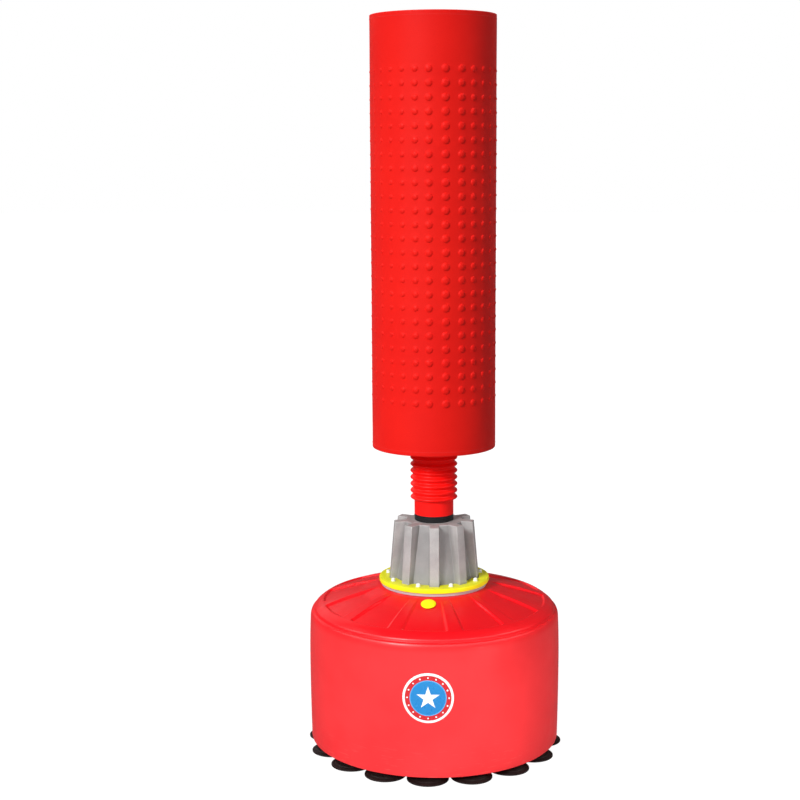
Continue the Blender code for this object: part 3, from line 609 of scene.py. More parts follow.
def make_tank():
    angles = panel_columns()
    rings = []
    for r, z in tank_profile():
        if r == 0.0:
            rings.append([(0.0, 0.0, z)])
            continue
        on_dome = r < 0.2320 and z > TANK_SHOULDER_Z
        heights = z - (panel_depth(r, angles) if on_dome else 0.0 * angles)
        points = np.stack([r * np.sin(angles), -r * np.cos(angles), heights], axis=1)
        rings.append(points.tolist())
    hole = [(0.0, 0.022), (0.0158, 0.022), (0.0158, -0.0012), (0.0115, -0.0012)]
    hole += [(0.0115, -0.022), (0.0, -0.022)]
    sockets = upright_cylinders(0.0052, 0.010, 0.0245, around(CUPS, CUP_CIRCLE_R, CUP_TURN))
    filler = moved(revolve(hole, 48), filler_frame())
    cutters = [revolve(CAVITY, 96), filler, sockets, bolt_holes(0.3190, 0.3400)]
    piece("tank_shell", loft(rings), "base", "tank_plastic", "base_tank", cutters=cutters)


def make_cups():
    outline = rounded(
        [
            (0.0, 0.0235, 0.0), (0.0045, 0.0235, 0.0012), (0.0045, 0.0147, 0.0),
            (0.0135, 0.0147, 0.0012), (0.0165, 0.0128, 0.0016), (0.0285, 0.0074, 0.0030),
            (0.0300, 0.0075, 0.0008), (0.0330, 0.0062, 0.0010), (0.0345, 0.0049, 0.0010),
            (0.0415, 0.0023, 0.0009), (0.0415, 0.0, 0.0004), (0.0345, 0.0, 0.0012),
            (0.0135, 0.0068, 0.0040), (0.0, 0.0078, 0.0),
        ],
        steps=3,
    )
    mesh = make_mesh("cup", revolve(outline, 56))
    for number, (x, y) in enumerate(around(CUPS, CUP_CIRCLE_R, CUP_TURN), start=1):
        node = f"suction_cup_{number:02d}"
        piece(f"cup_{number:02d}", mesh, "base", "cup_rubber", node).location = (x, y, 0)


def make_plug():
    low = GAP - 0.0012  # the seal's underside, in the filler's seat
    high = low + 0.0014
    head = high + GAP
    barb_r = PLUG_STEM_R - 0.0008
    outline = rounded(
        [
            (0.0, head + 0.0034, 0.0), (0.0060, head + 0.0033, 0.006),
            (0.0112, head + 0.0029, 0.004), (PLUG_HEAD_R, head + 0.0019, 0.0012),
            (PLUG_HEAD_R, head, 0.0004), (PLUG_STEM_R, head, 0.0),
            (PLUG_STEM_R, head - 0.0055, 0.0), (barb_r, head - 0.0063, 0.0004),
            (barb_r, head - 0.0082, 0.0004), (PLUG_STEM_R, head - 0.0090, 0.0),
            (PLUG_STEM_R, -0.0145, 0.0006), (PLUG_STEM_R - 0.0020, -0.0165, 0.0008),
            (0.0, -0.0165, 0.0),
        ],
        steps=5,
    )
    bung = moved(revolve(outline, 72), filler_frame())
    piece("filler_bung", bung, "filler_plug", "plug_plastic", "filler_plug")
    corners = ((0.0111, low), (0.0140, low), (0.0140, high), (0.0111, high))
    seal = revolve(rounded([(r, z, 0.0005) for r, z in corners]), 64)
    seal = moved(seal, filler_frame())
    piece("filler_washer", seal, "filler_plug", "seal_rubber", "plug_seal")


def on_tank_side(point, lift=0.0):
    """A flat badge point (x, y) laid on the curve of the tank's side."""
    radius, angle = BADGE_WRAP_R + lift, BADGE_TURN + point[0] / BADGE_WRAP_R
    return (radius * math.sin(angle), -radius * math.cos(angle), BADGE_Z + point[1])


def make_badge():
    """A round label: white, red and pale rings, dots, and a plain blue middle with one star."""
    low, high = BADGE_T + 0.00002, BADGE_T + PRINT_T

    def level(radius, lift, count=96, middle=(0.0, 0.0)):
        x, y = middle
        return [on_tank_side((x + a, y + b), lift) for a, b in around(count, radius)]

    rings = [[on_tank_side((0, 0))], *(level(r, 0.0) for r in (0.020, 0.0358, 0.050))]
    rings.append(level(0.050, BADGE_T - 0.0003))
    rings += [level(r, BADGE_T) for r in (0.0496, 0.0452, 0.0358, 0.0338, 0.020)]
    parts = [loft([*rings, [on_tank_side((0, 0), BADGE_T)]])]
    star = []
    for k in range(10):
        a, r = TURN * k / 10, STAR_R * (0.382 if k % 2 else 1.0)
        star.append((r * math.sin(a), r * math.cos(a)))
    rings = [[on_tank_side(p, lift) for p in star] for lift in (low, high)]
    parts.append(loft([[on_tank_side((0, 0), low)], *rings, [on_tank_side((0, 0), high)]]))
    for place in around(16, 0.0405):
        steps = ((0.0016, low), (0.0016, BADGE_T + 0.00014), (0.0013, high))
        rings = [level(r, lift, 16, place) for r, lift in steps]
        parts.append(loft([[on_tank_side(place, low)], *rings, [on_tank_side(place, high)]]))
    badge = add("badge_label", merged(parts))
    for film in ("white_film", "red_film", "pale_blue_film", "blue_film"):
        badge.data.materials.append(paints[film])
    for face in badge.data.polygons:
        x = BADGE_WRAP_R * (math.atan2(face.center.x, -face.center.y) - BADGE_TURN)
        reach = math.hypot(x, face.center.z - BADGE_Z)
        lift = math.hypot(face.center.x, face.center.y) - BADGE_WRAP_R
        if lift < BADGE_T + 0.00003:
            face.material_index = sum(reach <= limit for limit in BADGE_BANDS)
    finish_piece(badge, "base", "badge_film", "badge")


# ---------- hub


def fin_star(core_r, fin_r, width, z, fin_round=0.0013, root_round=0.0045):
    """The hub's outline at one height, with rounded fins and filleted roots."""
    step, half = TURN / FINS, width / 2
    root = math.asin(half / core_r)
    corners = []
    for k in range(FINS):
        turn = FIN_TURN + step * k
        out = Vector((math.sin(turn), -math.cos(turn)))
        side = Vector((math.cos(turn), math.sin(turn)))
        reach = math.sqrt(core_r**2 - half**2)
        for along, across, fillet in (
            (reach, -half, root_round), (fin_r, -half, fin_round),
            (fin_r, half, fin_round), (reach, half, root_round),
        ):
            corners.append((*(out * along + side * across), fillet))
        for s in (1, 2, 3, 4, 5):
            a = turn + root + (step - 2 * root) * s / 6
            corners.append((core_r * math.sin(a), -core_r * math.cos(a), 0.0))
    return [(p.x, p.y, z) for p in rounded(corners)]


def circle_under(star, radius, z):
    """A circle with a point straight out from each point of the star."""
    return [(x * radius / math.hypot(x, y), y * radius / math.hypot(x, y), z) for x, y, _ in star]


def edge_steps(radius, count=4):
    """(inset, drop) down a rounded edge, from its side to its top."""
    angles = [math.pi / 2 * k / count for k in range(count + 1)]
    return [(radius * (1 - math.cos(a)), radius * (1 - math.sin(a))) for a in angles]


def make_hub():
    def level(z, inset=0.0):
        share = (z - HUB_FOOT_Z) / (HUB_TOP - HUB_FOOT_Z)
        core = CORE_FOOT_R + (CORE_TOP_R - CORE_FOOT_R) * share
        fin = FIN_FOOT_R + (FIN_TOP_R - FIN_FOOT_R) * share
        return fin_star(core - inset, fin - inset, FIN_WIDTH - 2 * inset, z)

    rings = [level(HUB_FOOT_Z + (HUB_TOP - 0.0018 - HUB_FOOT_Z) * k / 6) for k in range(6)]
    rings += [level(HUB_TOP - drop, inset) for inset, drop in edge_steps(0.0016)]
    # Over the top, down the hollow inside, and round the flange back to the foot of the fins.
    path = [(0.052, HUB_TOP), (0.0085, HUB_TOP), (0.0085, 0.430), (0.020, 0.430), (0.020, 0.455)]
    path += [(0.050, 0.455), (0.070, 0.3355), (0.1082, 0.3355), (0.109, 0.3363)]
    path += [(0.109, HUB_FOOT_Z - 0.0008), (0.1082, HUB_FOOT_Z)]
    rings += [circle_under(rings[0], r, z) for r, z in path]
    hub, holes = loft(rings, closed=True), [bolt_holes(0.33, 0.36)]
    piece("hub_casting", hub, "base", "hub_metal", "hub_housing", sharp=36.0, cutters=holes)


def make_ring():
    low, top = RING_LOW, RING_TOP

    def opening(z, grow=0.0):
        extra = 0.0007 + grow
        width = FIN_WIDTH + 2 * extra
        return fin_star(CORE_FOOT_R + extra, FIN_FOOT_R + extra, width, z, 0.0016, 0.0040)

    rings = [opening(low)]
    rings += [opening(top - drop, inset) for inset, drop in edge_steps(0.0007, 3)]
    # A shallow step down to the rim, and a rounded outer edge.
    step = top - 0.0004
    path = [(0.1082, top), (0.1088, step), (0.1106, step)]
    path += [(RING_R - inset, step - drop) for inset, drop in reversed(edge_steps(0.0018))]
    path += [(RING_R, low + 0.0008), (RING_R - 0.0008, low)]
    rings += [circle_under(rings[0], r, z) for r, z in path]
    clamp, holes = loft(rings, closed=True), [bolt_holes(0.33, 0.36)]
    piece("clamp_collar", clamp, "base", "ring_plastic", "clamp_ring", cutters=holes)


def make_bolts():
    low = RING_TOP + GAP
    top = low + 0.0062
    outline = rounded(
        [
            (0.0, top, 0.0), (0.0030, top, 0.0008), (0.0040, top - 0.0014, 0.0010),
            (0.0040, low + 0.0010, 0.0003), (0.0048, low + 0.0008, 0.0003), (0.0048, low, 0.0002),
            (0.0027, low, 0.0), (0.0027, 0.3212, 0.0), (0.0020, 0.3205, 0.0), (0.0, 0.3205, 0.0),
        ]
    )
    pattern = add("bolt_pattern", revolve(outline, 36))
    high, deep = top + 0.001, top - 0.0022
    subtract(pattern, [revolve([(0.0, high), (0.0019, high), (0.0019, deep), (0.0, deep)], 6)])
    mesh = pattern.data
    bpy.data.objects.remove(pattern)
    for number, (x, y) in enumerate(around(FINS, BOLT_CIRCLE_R, BOLT_TURN), start=1):
        node = f"clamp_bolt_{number}"
        piece(f"bolt_{number}", mesh, "base", "bolt_plastic", node).location = (x, y, 0)


# ---------- neck


def make_seal():
    low, top = HUB_TOP + GAP, 0.4830
    corners = [(0.0348, low, 0.0005), (CUFF_R, low, 0.0008)]
    for z in (0.4745, 0.4788):
        corners += [(CUFF_R, z, 0.0003), (CUFF_R - 0.0004, z + 0.0003, 0.0)]
        corners += [(CUFF_R - 0.0004, z + 0.0007, 0.0), (CUFF_R, z + 0.001, 0.0003)]
    corners += [(CUFF_R, top, 0.0007), (0.0348, top, 0.0005)]
    piece("neck_seal", revolve(rounded(corners, 3), 120), "base", "seal_rubber", "seal_ring")


def bellows_radius(z):
    """The bellows' outside: plain cuffs with rounded ribs between them."""
    first = FIRST_RIB_Z - RIB_PITCH / 2
    last = first + RIB_PITCH * RIB_COUNT
    if not first < z < last:
        return CUFF_R
    across = 2 * abs((z - first) / RIB_PITCH % 1.0 - 0.5)
    at_end = z < FIRST_RIB_Z or z > last - RIB_PITCH / 2
    valley = CUFF_R if at_end else VALLEY_R
    return valley + (RIB_R - valley) * (0.5 + 0.5 * math.cos(math.pi * across)) ** 0.95


def half_piece(name, part, lower, slot, node, sharp):
    """One half of the sleeve or the spring, made as a piece with no body and its transform baked in."""
    made = piece(name, part, None, slot, node, sharp=sharp)
    if lower:
        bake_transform(made)
    else:
        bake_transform(made)


def make_bellows():
    low, top = BELLOWS_Z
    start = FIRST_RIB_Z - RIB_PITCH / 2
    levels = [low, low + 0.0004, 0.490, 0.497, 0.504, 0.509]
    levels += [start + RIB_PITCH * (k + f / 14) for k in range(RIB_COUNT) for f in range(14)]
    levels += [start + RIB_PITCH * RIB_COUNT, 0.6235, top - 0.0003, top]
    for name, first, last in (("bellows_lower", low, SPLIT_Z), ("bellows_upper", SPLIT_Z, top)):
        part = {round(z, 6) for z in levels if first - 1e-5 < z < last + 1e-5}
        part = sorted(part | {first, last})
        part = [z for k, z in enumerate(part) if k == 0 or z - part[k - 1] > 2e-5]
        outer = [(bellows_radius(z), z) for z in part]
        inner = [(r - BELLOWS_WALL, z) for r, z in reversed(outer)]
        half = revolve(outer + inner, 120)
        half_piece(name, half, first == low, "bellows_rubber", "bellows", 60.0)


def make_coil():
    """The neck's spring, in two halves split at the same height as the bellows round it."""
    wire, coil, steps = 0.0045, 0.0262, 48
    low, high = COIL_Z
    total = 8 * steps
    points = []
    for k in range(total + 1):
        a, z = TURN * k / steps, low + (high - low) * k / total
        points.append(Vector((coil * math.cos(a), coil * math.sin(a), z)))
    cut = min(range(total + 1), key=lambda k: abs(points[k].z - SPLIT_Z))
    for name, run in (("coil_lower", points[: cut + 1]), ("coil_upper", points[cut:])):
        rings = []
        for k, p in enumerate(run):
            along = (run[min(k + 1, len(run) - 1)] - run[max(k - 1, 0)]).normalized()
            out = Vector((p.x, p.y, 0)).normalized()
            side = along.cross(out).normalized()
            turns = [TURN * j / 12 for j in range(12)]
            rings.append([p + (out * math.cos(a) + side * math.sin(a)) * wire for a in turns])
        half, lower = loft([[run[0]], *rings, [run[-1]]]), name == "coil_lower"
        half_piece(name, half, lower, "bright_steel", "coil_spring", 50.0)


# ---------- column


def nub_columns():
    """(angle, nub diameter) of every column of nubs, on the front and again on the back."""
    columns = []
    for facing in (NUB_FACING, NUB_FACING + math.pi):
        for k, diameter in enumerate(NUB_DIAMETERS):
            offset = 0.0 if k == 0 else NUB_FIRST_STEP + NUB_STEP * (k - 1)
            for sign in (1,) if k == 0 else (-1, 1):
                angle = facing + sign * offset
                if abs(angle - math.pi) > ZIP_HALF + math.radians(4.0):
                    columns.append((angle % TURN, diameter))
    return sorted(columns)


def cover_columns():
    """Angles of the cover's grid, and (angle, diameter) of the nubs by the step they start at."""
    columns = nub_columns()
    angles, cells = [], {}
    for k, (middle, diameter) in enumerate(columns):
        start = middle - NUB_STEP / 2
        cells[len(angles)] = (middle, diameter)
        angles += [start + NUB_STEP * s / 4 for s in range(5)]
        following = columns[(k + 1) % len(columns)][0] + (TURN if k + 1 == len(columns) else 0)
        spare = following - NUB_STEP / 2 - (start + NUB_STEP)
        steps = round(spare / math.radians(3.2))
        angles += [start + NUB_STEP + spare * s / steps for s in range(1, steps)]
        if spare < math.radians(0.2):
            angles.pop()
    return angles, cells


def cover_surface(angle, z, lift=0.0):
    """A point on the cover's outside, which gives a little where the foam under it is low."""
    ease = min(z - BAG_LOW, BAG_TOP - z, 0.03) / 0.03
    place = Vector((3.1 * math.sin(angle), 3.1 * math.cos(angle), 7.0 * z))
    radius = BAG_R + noise.noise(place) * 0.00045 * ease + lift
    return (radius * math.sin(angle), -radius * math.cos(angle), z)


def nub_rings(diameter):
    """(radius, height) of a nub's rings from its foot to just under its tip, and its height."""
    half, height = diameter / 2, 0.19 * diameter
    shape = ((1.22, 0.0), (1.08, 0.02), (1.0, 0.13), (0.955, 0.34), (0.86, 0.56), (0.70, 0.77))
    shape += ((0.45, 0.93), (0.2, 0.985))
    return [(half * r, height * h) for r, h in shape], height


def make_cover_side():
    """A grid round the foam; each nub takes up four by four of its cells."""
    angles, cells = cover_columns()
    start = NUB_LOW_Z - NUB_PITCH / 2
    end = start + NUB_PITCH * NUB_ROWS
    low = [BAG_LOW + 0.0010, 0.628, 0.634, 0.642, 0.655, 0.670, 0.685, 0.700]
    high = [end + (BAG_TOP - 0.012 - end) * s / 6 for s in range(1, 7)]
    high += [1.4735, 1.4768, BAG_TOP - 0.0010]
    heights = low + [start + NUB_PITCH * s / 4 for s in range(NUB_ROWS * 4 + 1)] + high
    verts, faces, index = [], [], {}

    def vertex(point):
        verts.append(point)
        return len(verts) - 1

    def corner(i, j):
        i %= len(angles)
        if (i, j) not in index:
            index[i, j] = vertex(cover_surface(angles[i], heights[j]))
        return index[i, j]

    def bridge(first, second):
        for k in range(len(first)):
            n = (k + 1) % len(first)
            faces.append([first[k], first[n], second[n], second[k]])

    nubbed = set()
    for i, (middle, diameter) in cells.items():
        rings, height = nub_rings(diameter)
        for row in range(NUB_ROWS):
            j = len(low) + 4 * row
            nubbed.update((i + a, j + b) for a in range(4) for b in range(4))
            edge = [(i + a, j) for a in range(4)] + [(i + 4, j + b) for b in range(4)]
            edge += [(i + 4 - a, j + 4) for a in range(4)] + [(i, j + 4 - b) for b in range(4)]
            before = [corner(*place) for place in edge]
            middle_z = NUB_LOW_Z + NUB_PITCH * row
            for radius, lift in rings:
                loop = []
                for a in (TURN * (k - 6) / 16 for k in range(16)):
                    x, y = radius * math.cos(a), radius * math.sin(a)
                    loop.append(vertex(cover_surface(middle + x / BAG_R, middle_z + y, lift)))
                bridge(before, loop)
                before = loop
            tip = vertex(cover_surface(middle, middle_z, height))
            faces += [[before[k], before[(k + 1) % 16], tip] for k in range(16)]
    for i in range(len(angles)):
        for j in range(len(heights) - 1):
            if (i, j) not in nubbed:
                places = ((i, j), (i + 1, j), (i + 1, j + 1), (i, j + 1))
                faces.append([corner(*place) for place in places])
    # Rounded lips at both ends and the inside of the cloth.
    lip, soft, inner = BAG_R - 0.0010, BAG_R - 0.0003, BAG_R - COVER_T
    lips = [(soft, BAG_TOP - 0.0003), (lip, BAG_TOP), (inner, BAG_TOP), (inner, BAG_LOW)]
    lips += [(lip, BAG_LOW), (soft, BAG_LOW + 0.0003)]
    bottom = [corner(i, 0) for i in range(len(angles))]
    before = [corner(i, len(heights) - 1) for i in range(len(angles))]
    for radius, z in lips:
        loop = [vertex((radius * math.sin(a), -radius * math.cos(a), z)) for a in angles]
        bridge(before, loop)
        before = loop
    bridge(before, bottom)
    part = (verts, faces)
    side = piece("column_cover", part, "bag", "cover_leather", "cover_side", sharp=50.0)


def panel_disc(name, hole_r, face_z, back_z, crown, node):
    """An end panel of the cover: face_z is its outer face, crown how far its middle swells."""
    count, rim = 180, PADDING_R
    outward = 1 if face_z > back_z else -1
    # How far in from the rim and how deep: a rounded edge, then a groove under the stitches.
    seam = ((0.0, 0.0010), (0.0002, 0.0003), (0.0010, 0.0), (0.0026, 0.0), (0.0042, 0.0004))
    seam += ((SEAM_IN, 0.0007), (0.0072, 0.0004), (0.0105, 0.0))
    rows = [(rim - inset, dip) for inset, dip in seam]
    span = rows[-1][0] - hole_r
    rows += [(hole_r + span * s, 0.0) for s in (0.86, 0.7, 0.54, 0.4, 0.27, 0.16, 0.08)]
    rings = []
    for r, dip in rows:
        share = max(0.0, 1.0 - ((r - hole_r) / (rim - SEAM_IN - hole_r)) ** 2)
        near_seam = math.exp(-(((r - rim + 0.012) / 0.010) ** 2)) * (crown > 0)
        points = []
        for x, y, _ in ring(r, 0.0, count):
            pucker = noise.noise(Vector((9.0 * x / r, -9.0 * y / r, hole_r * 50)))
            swell = crown * share**1.3 + 0.0005 * pucker * near_seam - dip
            points.append((x, y, face_z + outward * swell))
        rings.append(points)
    if hole_r > 0:
        low = face_z - outward * 0.0006
        for r, z in ((hole_r + 0.0004, face_z), (hole_r, low), (hole_r, back_z), (rim, back_z)):
            rings.append(ring(r, z, count))
        part = loft(rings, closed=True)
    else:
        back = [ring(rim, back_z, count), ring(rim * 0.5, back_z, count), [(0, 0, back_z)]]
        part = loft([[(0, 0, face_z + outward * crown)], *reversed(rings), *back])
    return piece(name, part, "bag", "cover_leather", node, sharp=40.0)


def stitch(length, width, proud):
    """One stitch lying along X, its middle at the origin and its back just under the cloth."""
    rings = []
    ends = ((0.5, 0.35, -0.8), (0.42, 0.8, -0.35), (0.2, 1.0, 0.0))
    for along, size, drop in (*((-x, *rest) for x, *rest in ends), *reversed(ends)):
        rings.append([
            (along * length, width / 2 * size * math.cos(a), proud * (size * math.sin(a) + drop))
            for a in (TURN * k / 8 for k in range(8))
        ])
    tips = [[(x * length, 0, -proud)] for x in (-0.52, 0.52)]
    return loft([tips[0], *rings, tips[1]])


def make_stitching():
    """Rows of thread: round both ends of the side, and on both end panels."""
    one = stitch(0.0031, 0.0008, 0.00042)
    parts = []
    for z in (BAG_LOW + 0.0085, BAG_TOP - 0.0085):
        for a in (TURN * k / 188 for k in range(188)):
            # Its columns: along the cloth, up, and out from it.
            turn = ((math.cos(a), 0, math.sin(a)), (math.sin(a), 0, -math.cos(a)), (0, 1, 0))
            place = Matrix.Translation(cover_surface(a, z))
            parts.append(moved(one, place @ Matrix(turn).to_4x4()))
    for z, outward in ((BAG_TOP - GAP - 0.0005, 1), (BAG_LOW + GAP + 0.0005, -1)):
        upright = Matrix.Scale(outward, 4, (0, 0, 1))
        for k, place in enumerate(ring(PADDING_R - SEAM_IN, z, 176)):
            turn = Matrix.Rotation(TURN * k / 176, 4, "Z")
            parts.append(moved(one, Matrix.Translation(place) @ turn @ upright))
    threads = merged(parts)
    piece("cover_stitches", threads, "bag", "cover_leather", paint="thread", sharp=60.0)


def make_padding():
    """The foam inside: the long core with its bore, and the pad over it."""
    low, high = 1.4549, 1.4769
    core = rounded(
        [
            (0.037, 0.635, 0.001), (PADDING_R, 0.635, 0.004), (PADDING_R, low - GAP, 0.004),
            (0.0247, low - GAP, 0.001), (0.0247, 0.690, 0.001), (0.037, 0.690, 0.001),
        ]
    )
    core = [p for k, p in enumerate(core) if k == 0 or (p - core[k - 1]).length > 1e-6]
    pad = [(0.0, low, 0.0), (PADDING_R, low, 0.002), (PADDING_R, high, 0.004), (0.0, high, 0.0)]
    for name, outline, node in (("foam_column", core, "foam_core"), ("foam_cap", rounded(pad), "top_pad")):
        foam = piece(name, revolve(outline, 120), "bag", "foam_white", node)


# ---------- zip


def back_strip(half_width, radius, thickness, low, high, along=4):
    """A strip down the back of the cover with rounded long edges."""
    across = 12
    section = []
    for k in range(across + 1):
        inset = thickness * 0.4 if k in (0, across) else 0.0
        section.append((half_width * (2 * k / across - 1), radius + thickness - inset))
    section += [(x, radius) for x, _ in reversed(section)]
    rings = []
    for s in range(along + 1):
        z = low + (high - low) * s / along
        rings.append([(r * math.sin(x / radius), r * math.cos(x / radius), z) for x, r in section])
    verts, faces = loft(rings)
    count = len(section)
    faces += [list(range(count)), list(range(along * count, (along + 1) * count))]
    return verts, faces


def box(size, middle, bevel):
    """A block with bevelled edges."""
    bm = bmesh.new()
    bmesh.ops.create_cube(bm, size=1.0)
    bmesh.ops.scale(bm, vec=size, verts=bm.verts)
    bmesh.ops.bevel(bm, geom=list(bm.edges), offset=bevel, segments=2, affect="EDGES", profile=0.6)
    bmesh.ops.translate(bm, vec=middle, verts=bm.verts)
    part = [tuple(v.co) for v in bm.verts], [[v.index for v in f.verts] for f in bm.faces]
    bm.free()
    return part


def make_zip():
    """Two tapes with a bar across each end, the teeth between them, and a seam down each side."""
    half, gap, (low, high) = ZIP_HALF * ZIP_R, 0.0013, ZIP_Z
    strips = []
    for sign in (-1, 1):
        strip = back_strip((half - gap) / 2, ZIP_R, 0.0006, low, high)
        strips.append(moved(strip, Matrix.Rotation(-sign * (half + gap) / 2 / ZIP_R, 4, "Z")))
    for z in (low + 0.0002, high - 0.0062):
        strips.append(back_strip(half * 0.96, ZIP_R + 0.0001, 0.0009, z, z + 0.006, 2))
    piece("zip_tapes", merged(strips), "bag", "zip_fabric", "zip_tape", sharp=50.0)

    teeth, pitch = [], 0.0026
    tooth = box((0.0031, 0.0011, 0.0011), (0, 0, 0), 0.0003)
    for k in range(int((high - low - 0.016) / pitch)):
        for sign in (-1, 1):
            z = low + 0.008 + pitch * (k + 0.5 * (sign > 0))
            turn = Matrix.Rotation(-sign * 0.0010 / ZIP_R, 4, "Z")
            teeth.append(moved(tooth, turn @ Matrix.Translation((0, 0.12605, z))))
    for z in (low + 0.0068, high - 0.0068):
        teeth.append(box((0.0062, 0.0010, 0.0022), (0, 0.1261, z), 0.0003))
    piece("zip_chain", merged(teeth), "bag", "zip_fabric", paint="zip_teeth", sharp=40.0)

    one, pitch = stitch(0.0027, 0.0007, 0.0003), 0.0040
    threads = []
    for a in (-(half - 0.0022) / ZIP_R, (half - 0.0022) / ZIP_R):
        turn = Matrix(((0, math.cos(a), math.sin(a)), (0, -math.sin(a), math.cos(a)), (1, 0, 0)))
        out = turn.col[2] * (ZIP_R + 0.0006)
        for k in range(int((high - low) / pitch)):
            place = Matrix.Translation(out + Vector((0, 0, low + 0.003 + pitch * k)))
            threads.append(moved(one, place @ turn.to_4x4()))
    piece("zip_stitches", merged(threads), "bag", "zip_fabric", paint="thread", sharp=60.0)


def both_sides(half, z):
    """A rounded outline in X and Z, from the (x, height, radius) of its right side going up."""
    left = [(-x, height, radius) for x, height, radius in reversed(half)]
    return rounded([(x, z + height, radius) for x, height, radius in (*half, *left)])


def plate(outline, y_low, y_high, bevel):
    """A flat shape in X and Z, as thick as from y_low to y_high, with rounded rims."""
    middle = sum(outline, Vector((0, 0))) / len(outline)
    rims = [(y_low, bevel), (y_low + bevel * 0.3, bevel * 0.3), (y_low + bevel, 0.0)]
    rims += [(y_high - bevel, 0.0), (y_high - bevel * 0.3, bevel * 0.3), (y_high, bevel)]
    rings = [[(middle.x, y_low, middle.y)]]
    for y, inset in rims:
        points = [p + (middle - p).normalized() * inset for p in outline]
        rings.append([(p.x, y, p.y) for p in points])
    return loft([*rings, [(middle.x, y_high, middle.y)]])


def make_slider():
    """A lower and an upper wing joined by a post, with a lug each side for the pull's barrel."""
    low, front, z = 0.1267, 0.1313, SLIDER_Z
    right = [(0.0036, -0.008, 0.002), (0.0040, -0.001, 0.003), (0.0050, 0.006, 0.002)]
    shield = both_sides([*right, (0.0034, 0.008, 0.0015)], z)
    parts = [plate(shield, front - 0.0020, front, 0.0006)]
    inner = [Vector((p.x * 0.9, z + (p.y - z) * 0.95)) for p in shield]
    parts.append(plate(inner, low, low + 0.0012, 0.0003))
    halfway = (low + front) / 2
    parts.append(box((0.0034, 0.0030, 0.0060), (0, halfway, z + 0.0035), 0.0004))
    lug = both_sides([(0.0025, -0.0017, 0.0003), (0.0022, 0.0017, 0.0016)], 0.0)
    lug = plate(lug, -0.0009, 0.0009, 0.0003)
    turn = Matrix(((0, 1, 0), (0, 0, 1), (1, 0, 0))).to_4x4()
    for s in (-1, 1):
        parts.append(box((0.0010, 0.0034, 0.0120), (s * 0.0038, halfway, z), 0.0003))
        parts.append(moved(lug, Matrix.Translation((s * 0.0039, front + 0.0015, z)) @ turn))
    piece("zip_runner", merged(parts), "zip_slider", "zip_metal", "zip_slider", sharp=40.0)


def make_pull():
    """A tab with a window and an eye, on a barrel between the slider's lugs."""
    z = SLIDER_Z

    def placed(part, drop, axis):
        turn = Matrix.Rotation(math.pi / 2, 4, axis)
        return moved(part, Matrix.Translation((0, PULL_Y, z - drop)) @ turn)

    right = [(0.0033, -0.0350, 0.0026), (0.0033, -0.0085, 0.0015), (0.0019, -0.0062, 0.001)]
    tab = both_sides([*right, (0.0019, 0.0004, 0.0)], z)
    pull = add("zip_handle", plate(tab, PULL_Y - 0.0007, PULL_Y + 0.0007, 0.0003), sharp=40.0)
    eye = revolve([(0.0, -0.004), (0.0016, -0.004), (0.0016, 0.004), (0.0, 0.004)], 24)
    window = box((0.0034, 0.004, 0.0140), (0, PULL_Y, z - 0.0185), 0.0006)
    subtract(pull, [placed(eye, 0.0310, "X"), window], 40.0)
    ends = [(0.0, -0.0024, 0.0), (0.0011, -0.0024, 0.0003), (0.0011, 0.0024, 0.0003)]
    barrel = placed(revolve(rounded([*ends, (0.0, 0.0024, 0.0)]), 24), 0.0, "Y")
    both = bpy.data.meshes.new("zip_pull_tab")
    bm = bmesh.new()
    bm.from_mesh(pull.data)
    bm.from_mesh(make_mesh("barrel", barrel))
    bm.to_mesh(both)
    bm.free()
    pull.data = both
    finish_piece(pull, "zip_pull", "zip_metal", "zip_pull")


# ---------- hidden pieces, stage and camera


def paint_carried_nodes():
    """CAD nodes that keep their own shape get the material of their slot."""
    slots = {s["node"]: s["material_slot"] for s in frame["record"]["subparts"]}
    for name, node in frame["nodes"].items():
        if node.hide_render:
            continue
        node.data.materials.clear()
        node.data.materials.append(paints[slots[name]])
        for face in node.data.polygons:
            face.material_index = 0


def make_stage():
    """A floor lit from inside, like a light table, so that it shows only the faintest shadow."""
    corners = [(-30, -30, 0), (30, -30, 0), (30, 30, 0), (-30, 30, 0)]
    floor = add("floor", (corners, [[0, 1, 2, 3]]))
    paint = Paint("studio_floor", Specular_IOR_Level=0.1)
    paint.colour((0.10, 0.10, 0.10), (0.11, 0.11, 0.11), paint.noise(1.5))
    paint.rough(paint.noise(3.0), 0.85, 0.95)
    paint.shader.inputs["Emission Color"].default_value = (1.0, 1.0, 1.0, 1.0)
    paint.shader.inputs["Emission Strength"].default_value = FLOOR_GLOW
    floor.data.materials.append(paint.material)
    # The object keeps its deep colours when the white floor throws no light back on it.
    floor.visible_diffuse = False
    floor.visible_glossy = False


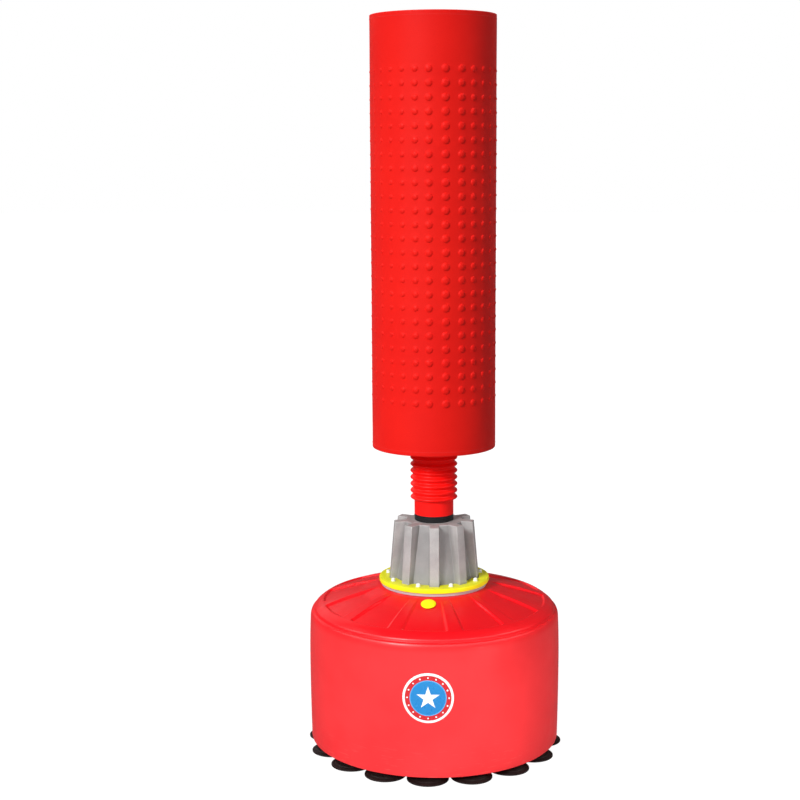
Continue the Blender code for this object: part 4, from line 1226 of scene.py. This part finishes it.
def make_world():
    world = bpy.data.worlds.new("studio")
    bpy.context.scene.world = world
    world.use_nodes = True
    nodes = Nodes(world.node_tree)
    x, y, z = nodes.axes(nodes.node("ShaderNodeTexCoord").outputs["Generated"])
    ray = nodes.node("ShaderNodeLightPath").outputs

    def ramp(value, low, high, at_low=0.0, at_high=1.0):
        return nodes.spread(value, low, high, at_low, at_high, interpolation_type="SMOOTHSTEP")

    def product(first, second, third):
        return nodes.maths("MULTIPLY", nodes.maths("MULTIPLY", first, second), third)

    def choose(flag, otherwise, value):
        return nodes.node("ShaderNodeMix", {0: ray[flag], 2: otherwise, 3: value}).outputs[0]

    soft = ramp(z, -0.6, 0.9, WORLD_HORIZON, WORLD_ZENITH)
    # Polished surfaces mirror a pale front, a wide panel over the camera and a strip at the back
    # left.
    front = ramp(y, -0.9, 0.1, MIRROR_FRONT, MIRROR_BACK)
    panel = product(ramp(z, 0.26, 0.42, 0.0, MIRROR_PANEL), ramp(z, 0.86, 0.68), ramp(y, 0.35, 0.0))
    rise = ramp(z, 0.15, 0.3, 0.0, MIRROR_STRIP)
    strip = product(ramp(y, 0.35, 0.6), rise, ramp(x, -0.20, -0.45))
    mirrored = nodes.maths("ADD", nodes.maths("ADD", front, panel), strip)
    strength = choose("Is Camera Ray", choose("Is Glossy Ray", soft, mirrored), 1.0)
    background = world.node_tree.nodes["Background"].inputs
    background["Color"].default_value = (1, 1, 1, 1)
    world.node_tree.links.new(strength, background["Strength"])
    world.cycles.sampling_method = "NONE"


def make_lights():
    key = bpy.data.lights.new("key", "SUN")
    key.energy, key.angle = KEY_STRENGTH, KEY_SIZE
    flat = math.cos(KEY_ELEVATION)
    towards = (math.sin(KEY_AZIMUTH) * flat, -math.cos(KEY_AZIMUTH) * flat, math.sin(KEY_ELEVATION))
    fill = bpy.data.lights.new("low_fill", "AREA")
    fill.shape = "RECTANGLE"
    fill.size, fill.size_y = FILL_SIZE
    fill.energy, fill.spread = FILL_WATTS, FILL_SPREAD
    back = Vector(FILL_PLACE) - Vector(FILL_TARGET)
    for lamp, direction in ((key, Vector(towards)), (fill, back)):
        holder = link(lamp.name, lamp)
        holder.rotation_euler = direction.to_track_quat("Z", "Y").to_euler()
    holder.location = FILL_PLACE
    holder.visible_glossy = False
    bpy.context.scene.view_settings.view_transform = "Standard"


def make_camera():
    data = bpy.data.cameras.new("photo_camera")
    data.lens, data.sensor_width = LENS_MM, SENSOR_MM
    camera = link("photo_camera", data)
    (x, y), = around(1, CAMERA_DISTANCE, CAMERA_TURN)
    camera.matrix_world = (
        Matrix.Translation((x, y, CAMERA_HEIGHT))
        @ Matrix.Rotation(CAMERA_TURN + CAMERA_YAW, 4, "Z")
        @ Matrix.Rotation(math.pi / 2 - CAMERA_PITCH, 4, "X")
        @ Matrix.Rotation(CAMERA_ROLL, 4, "Z")
    )
    bpy.context.scene.camera = camera


paints = make_paints()
make_camera()
make_world()
make_lights()
make_stage()

make_tank()
make_cups()
make_plug()
make_badge()
make_hub()
make_ring()
make_bolts()
make_seal()
make_bellows()
make_coil()
make_cover_side()
high, low = BAG_TOP - GAP, BAG_LOW + GAP
top_panel = panel_disc("cover_end_top", 0.0, high, high - COVER_T, 0.0045, "cover_top")
panel_disc("cover_end_bottom", 0.043, low, low + COVER_T, 0.0, "cover_bottom")
make_stitching()
make_padding()
make_zip()
make_slider()
make_pull()
paint_carried_nodes()
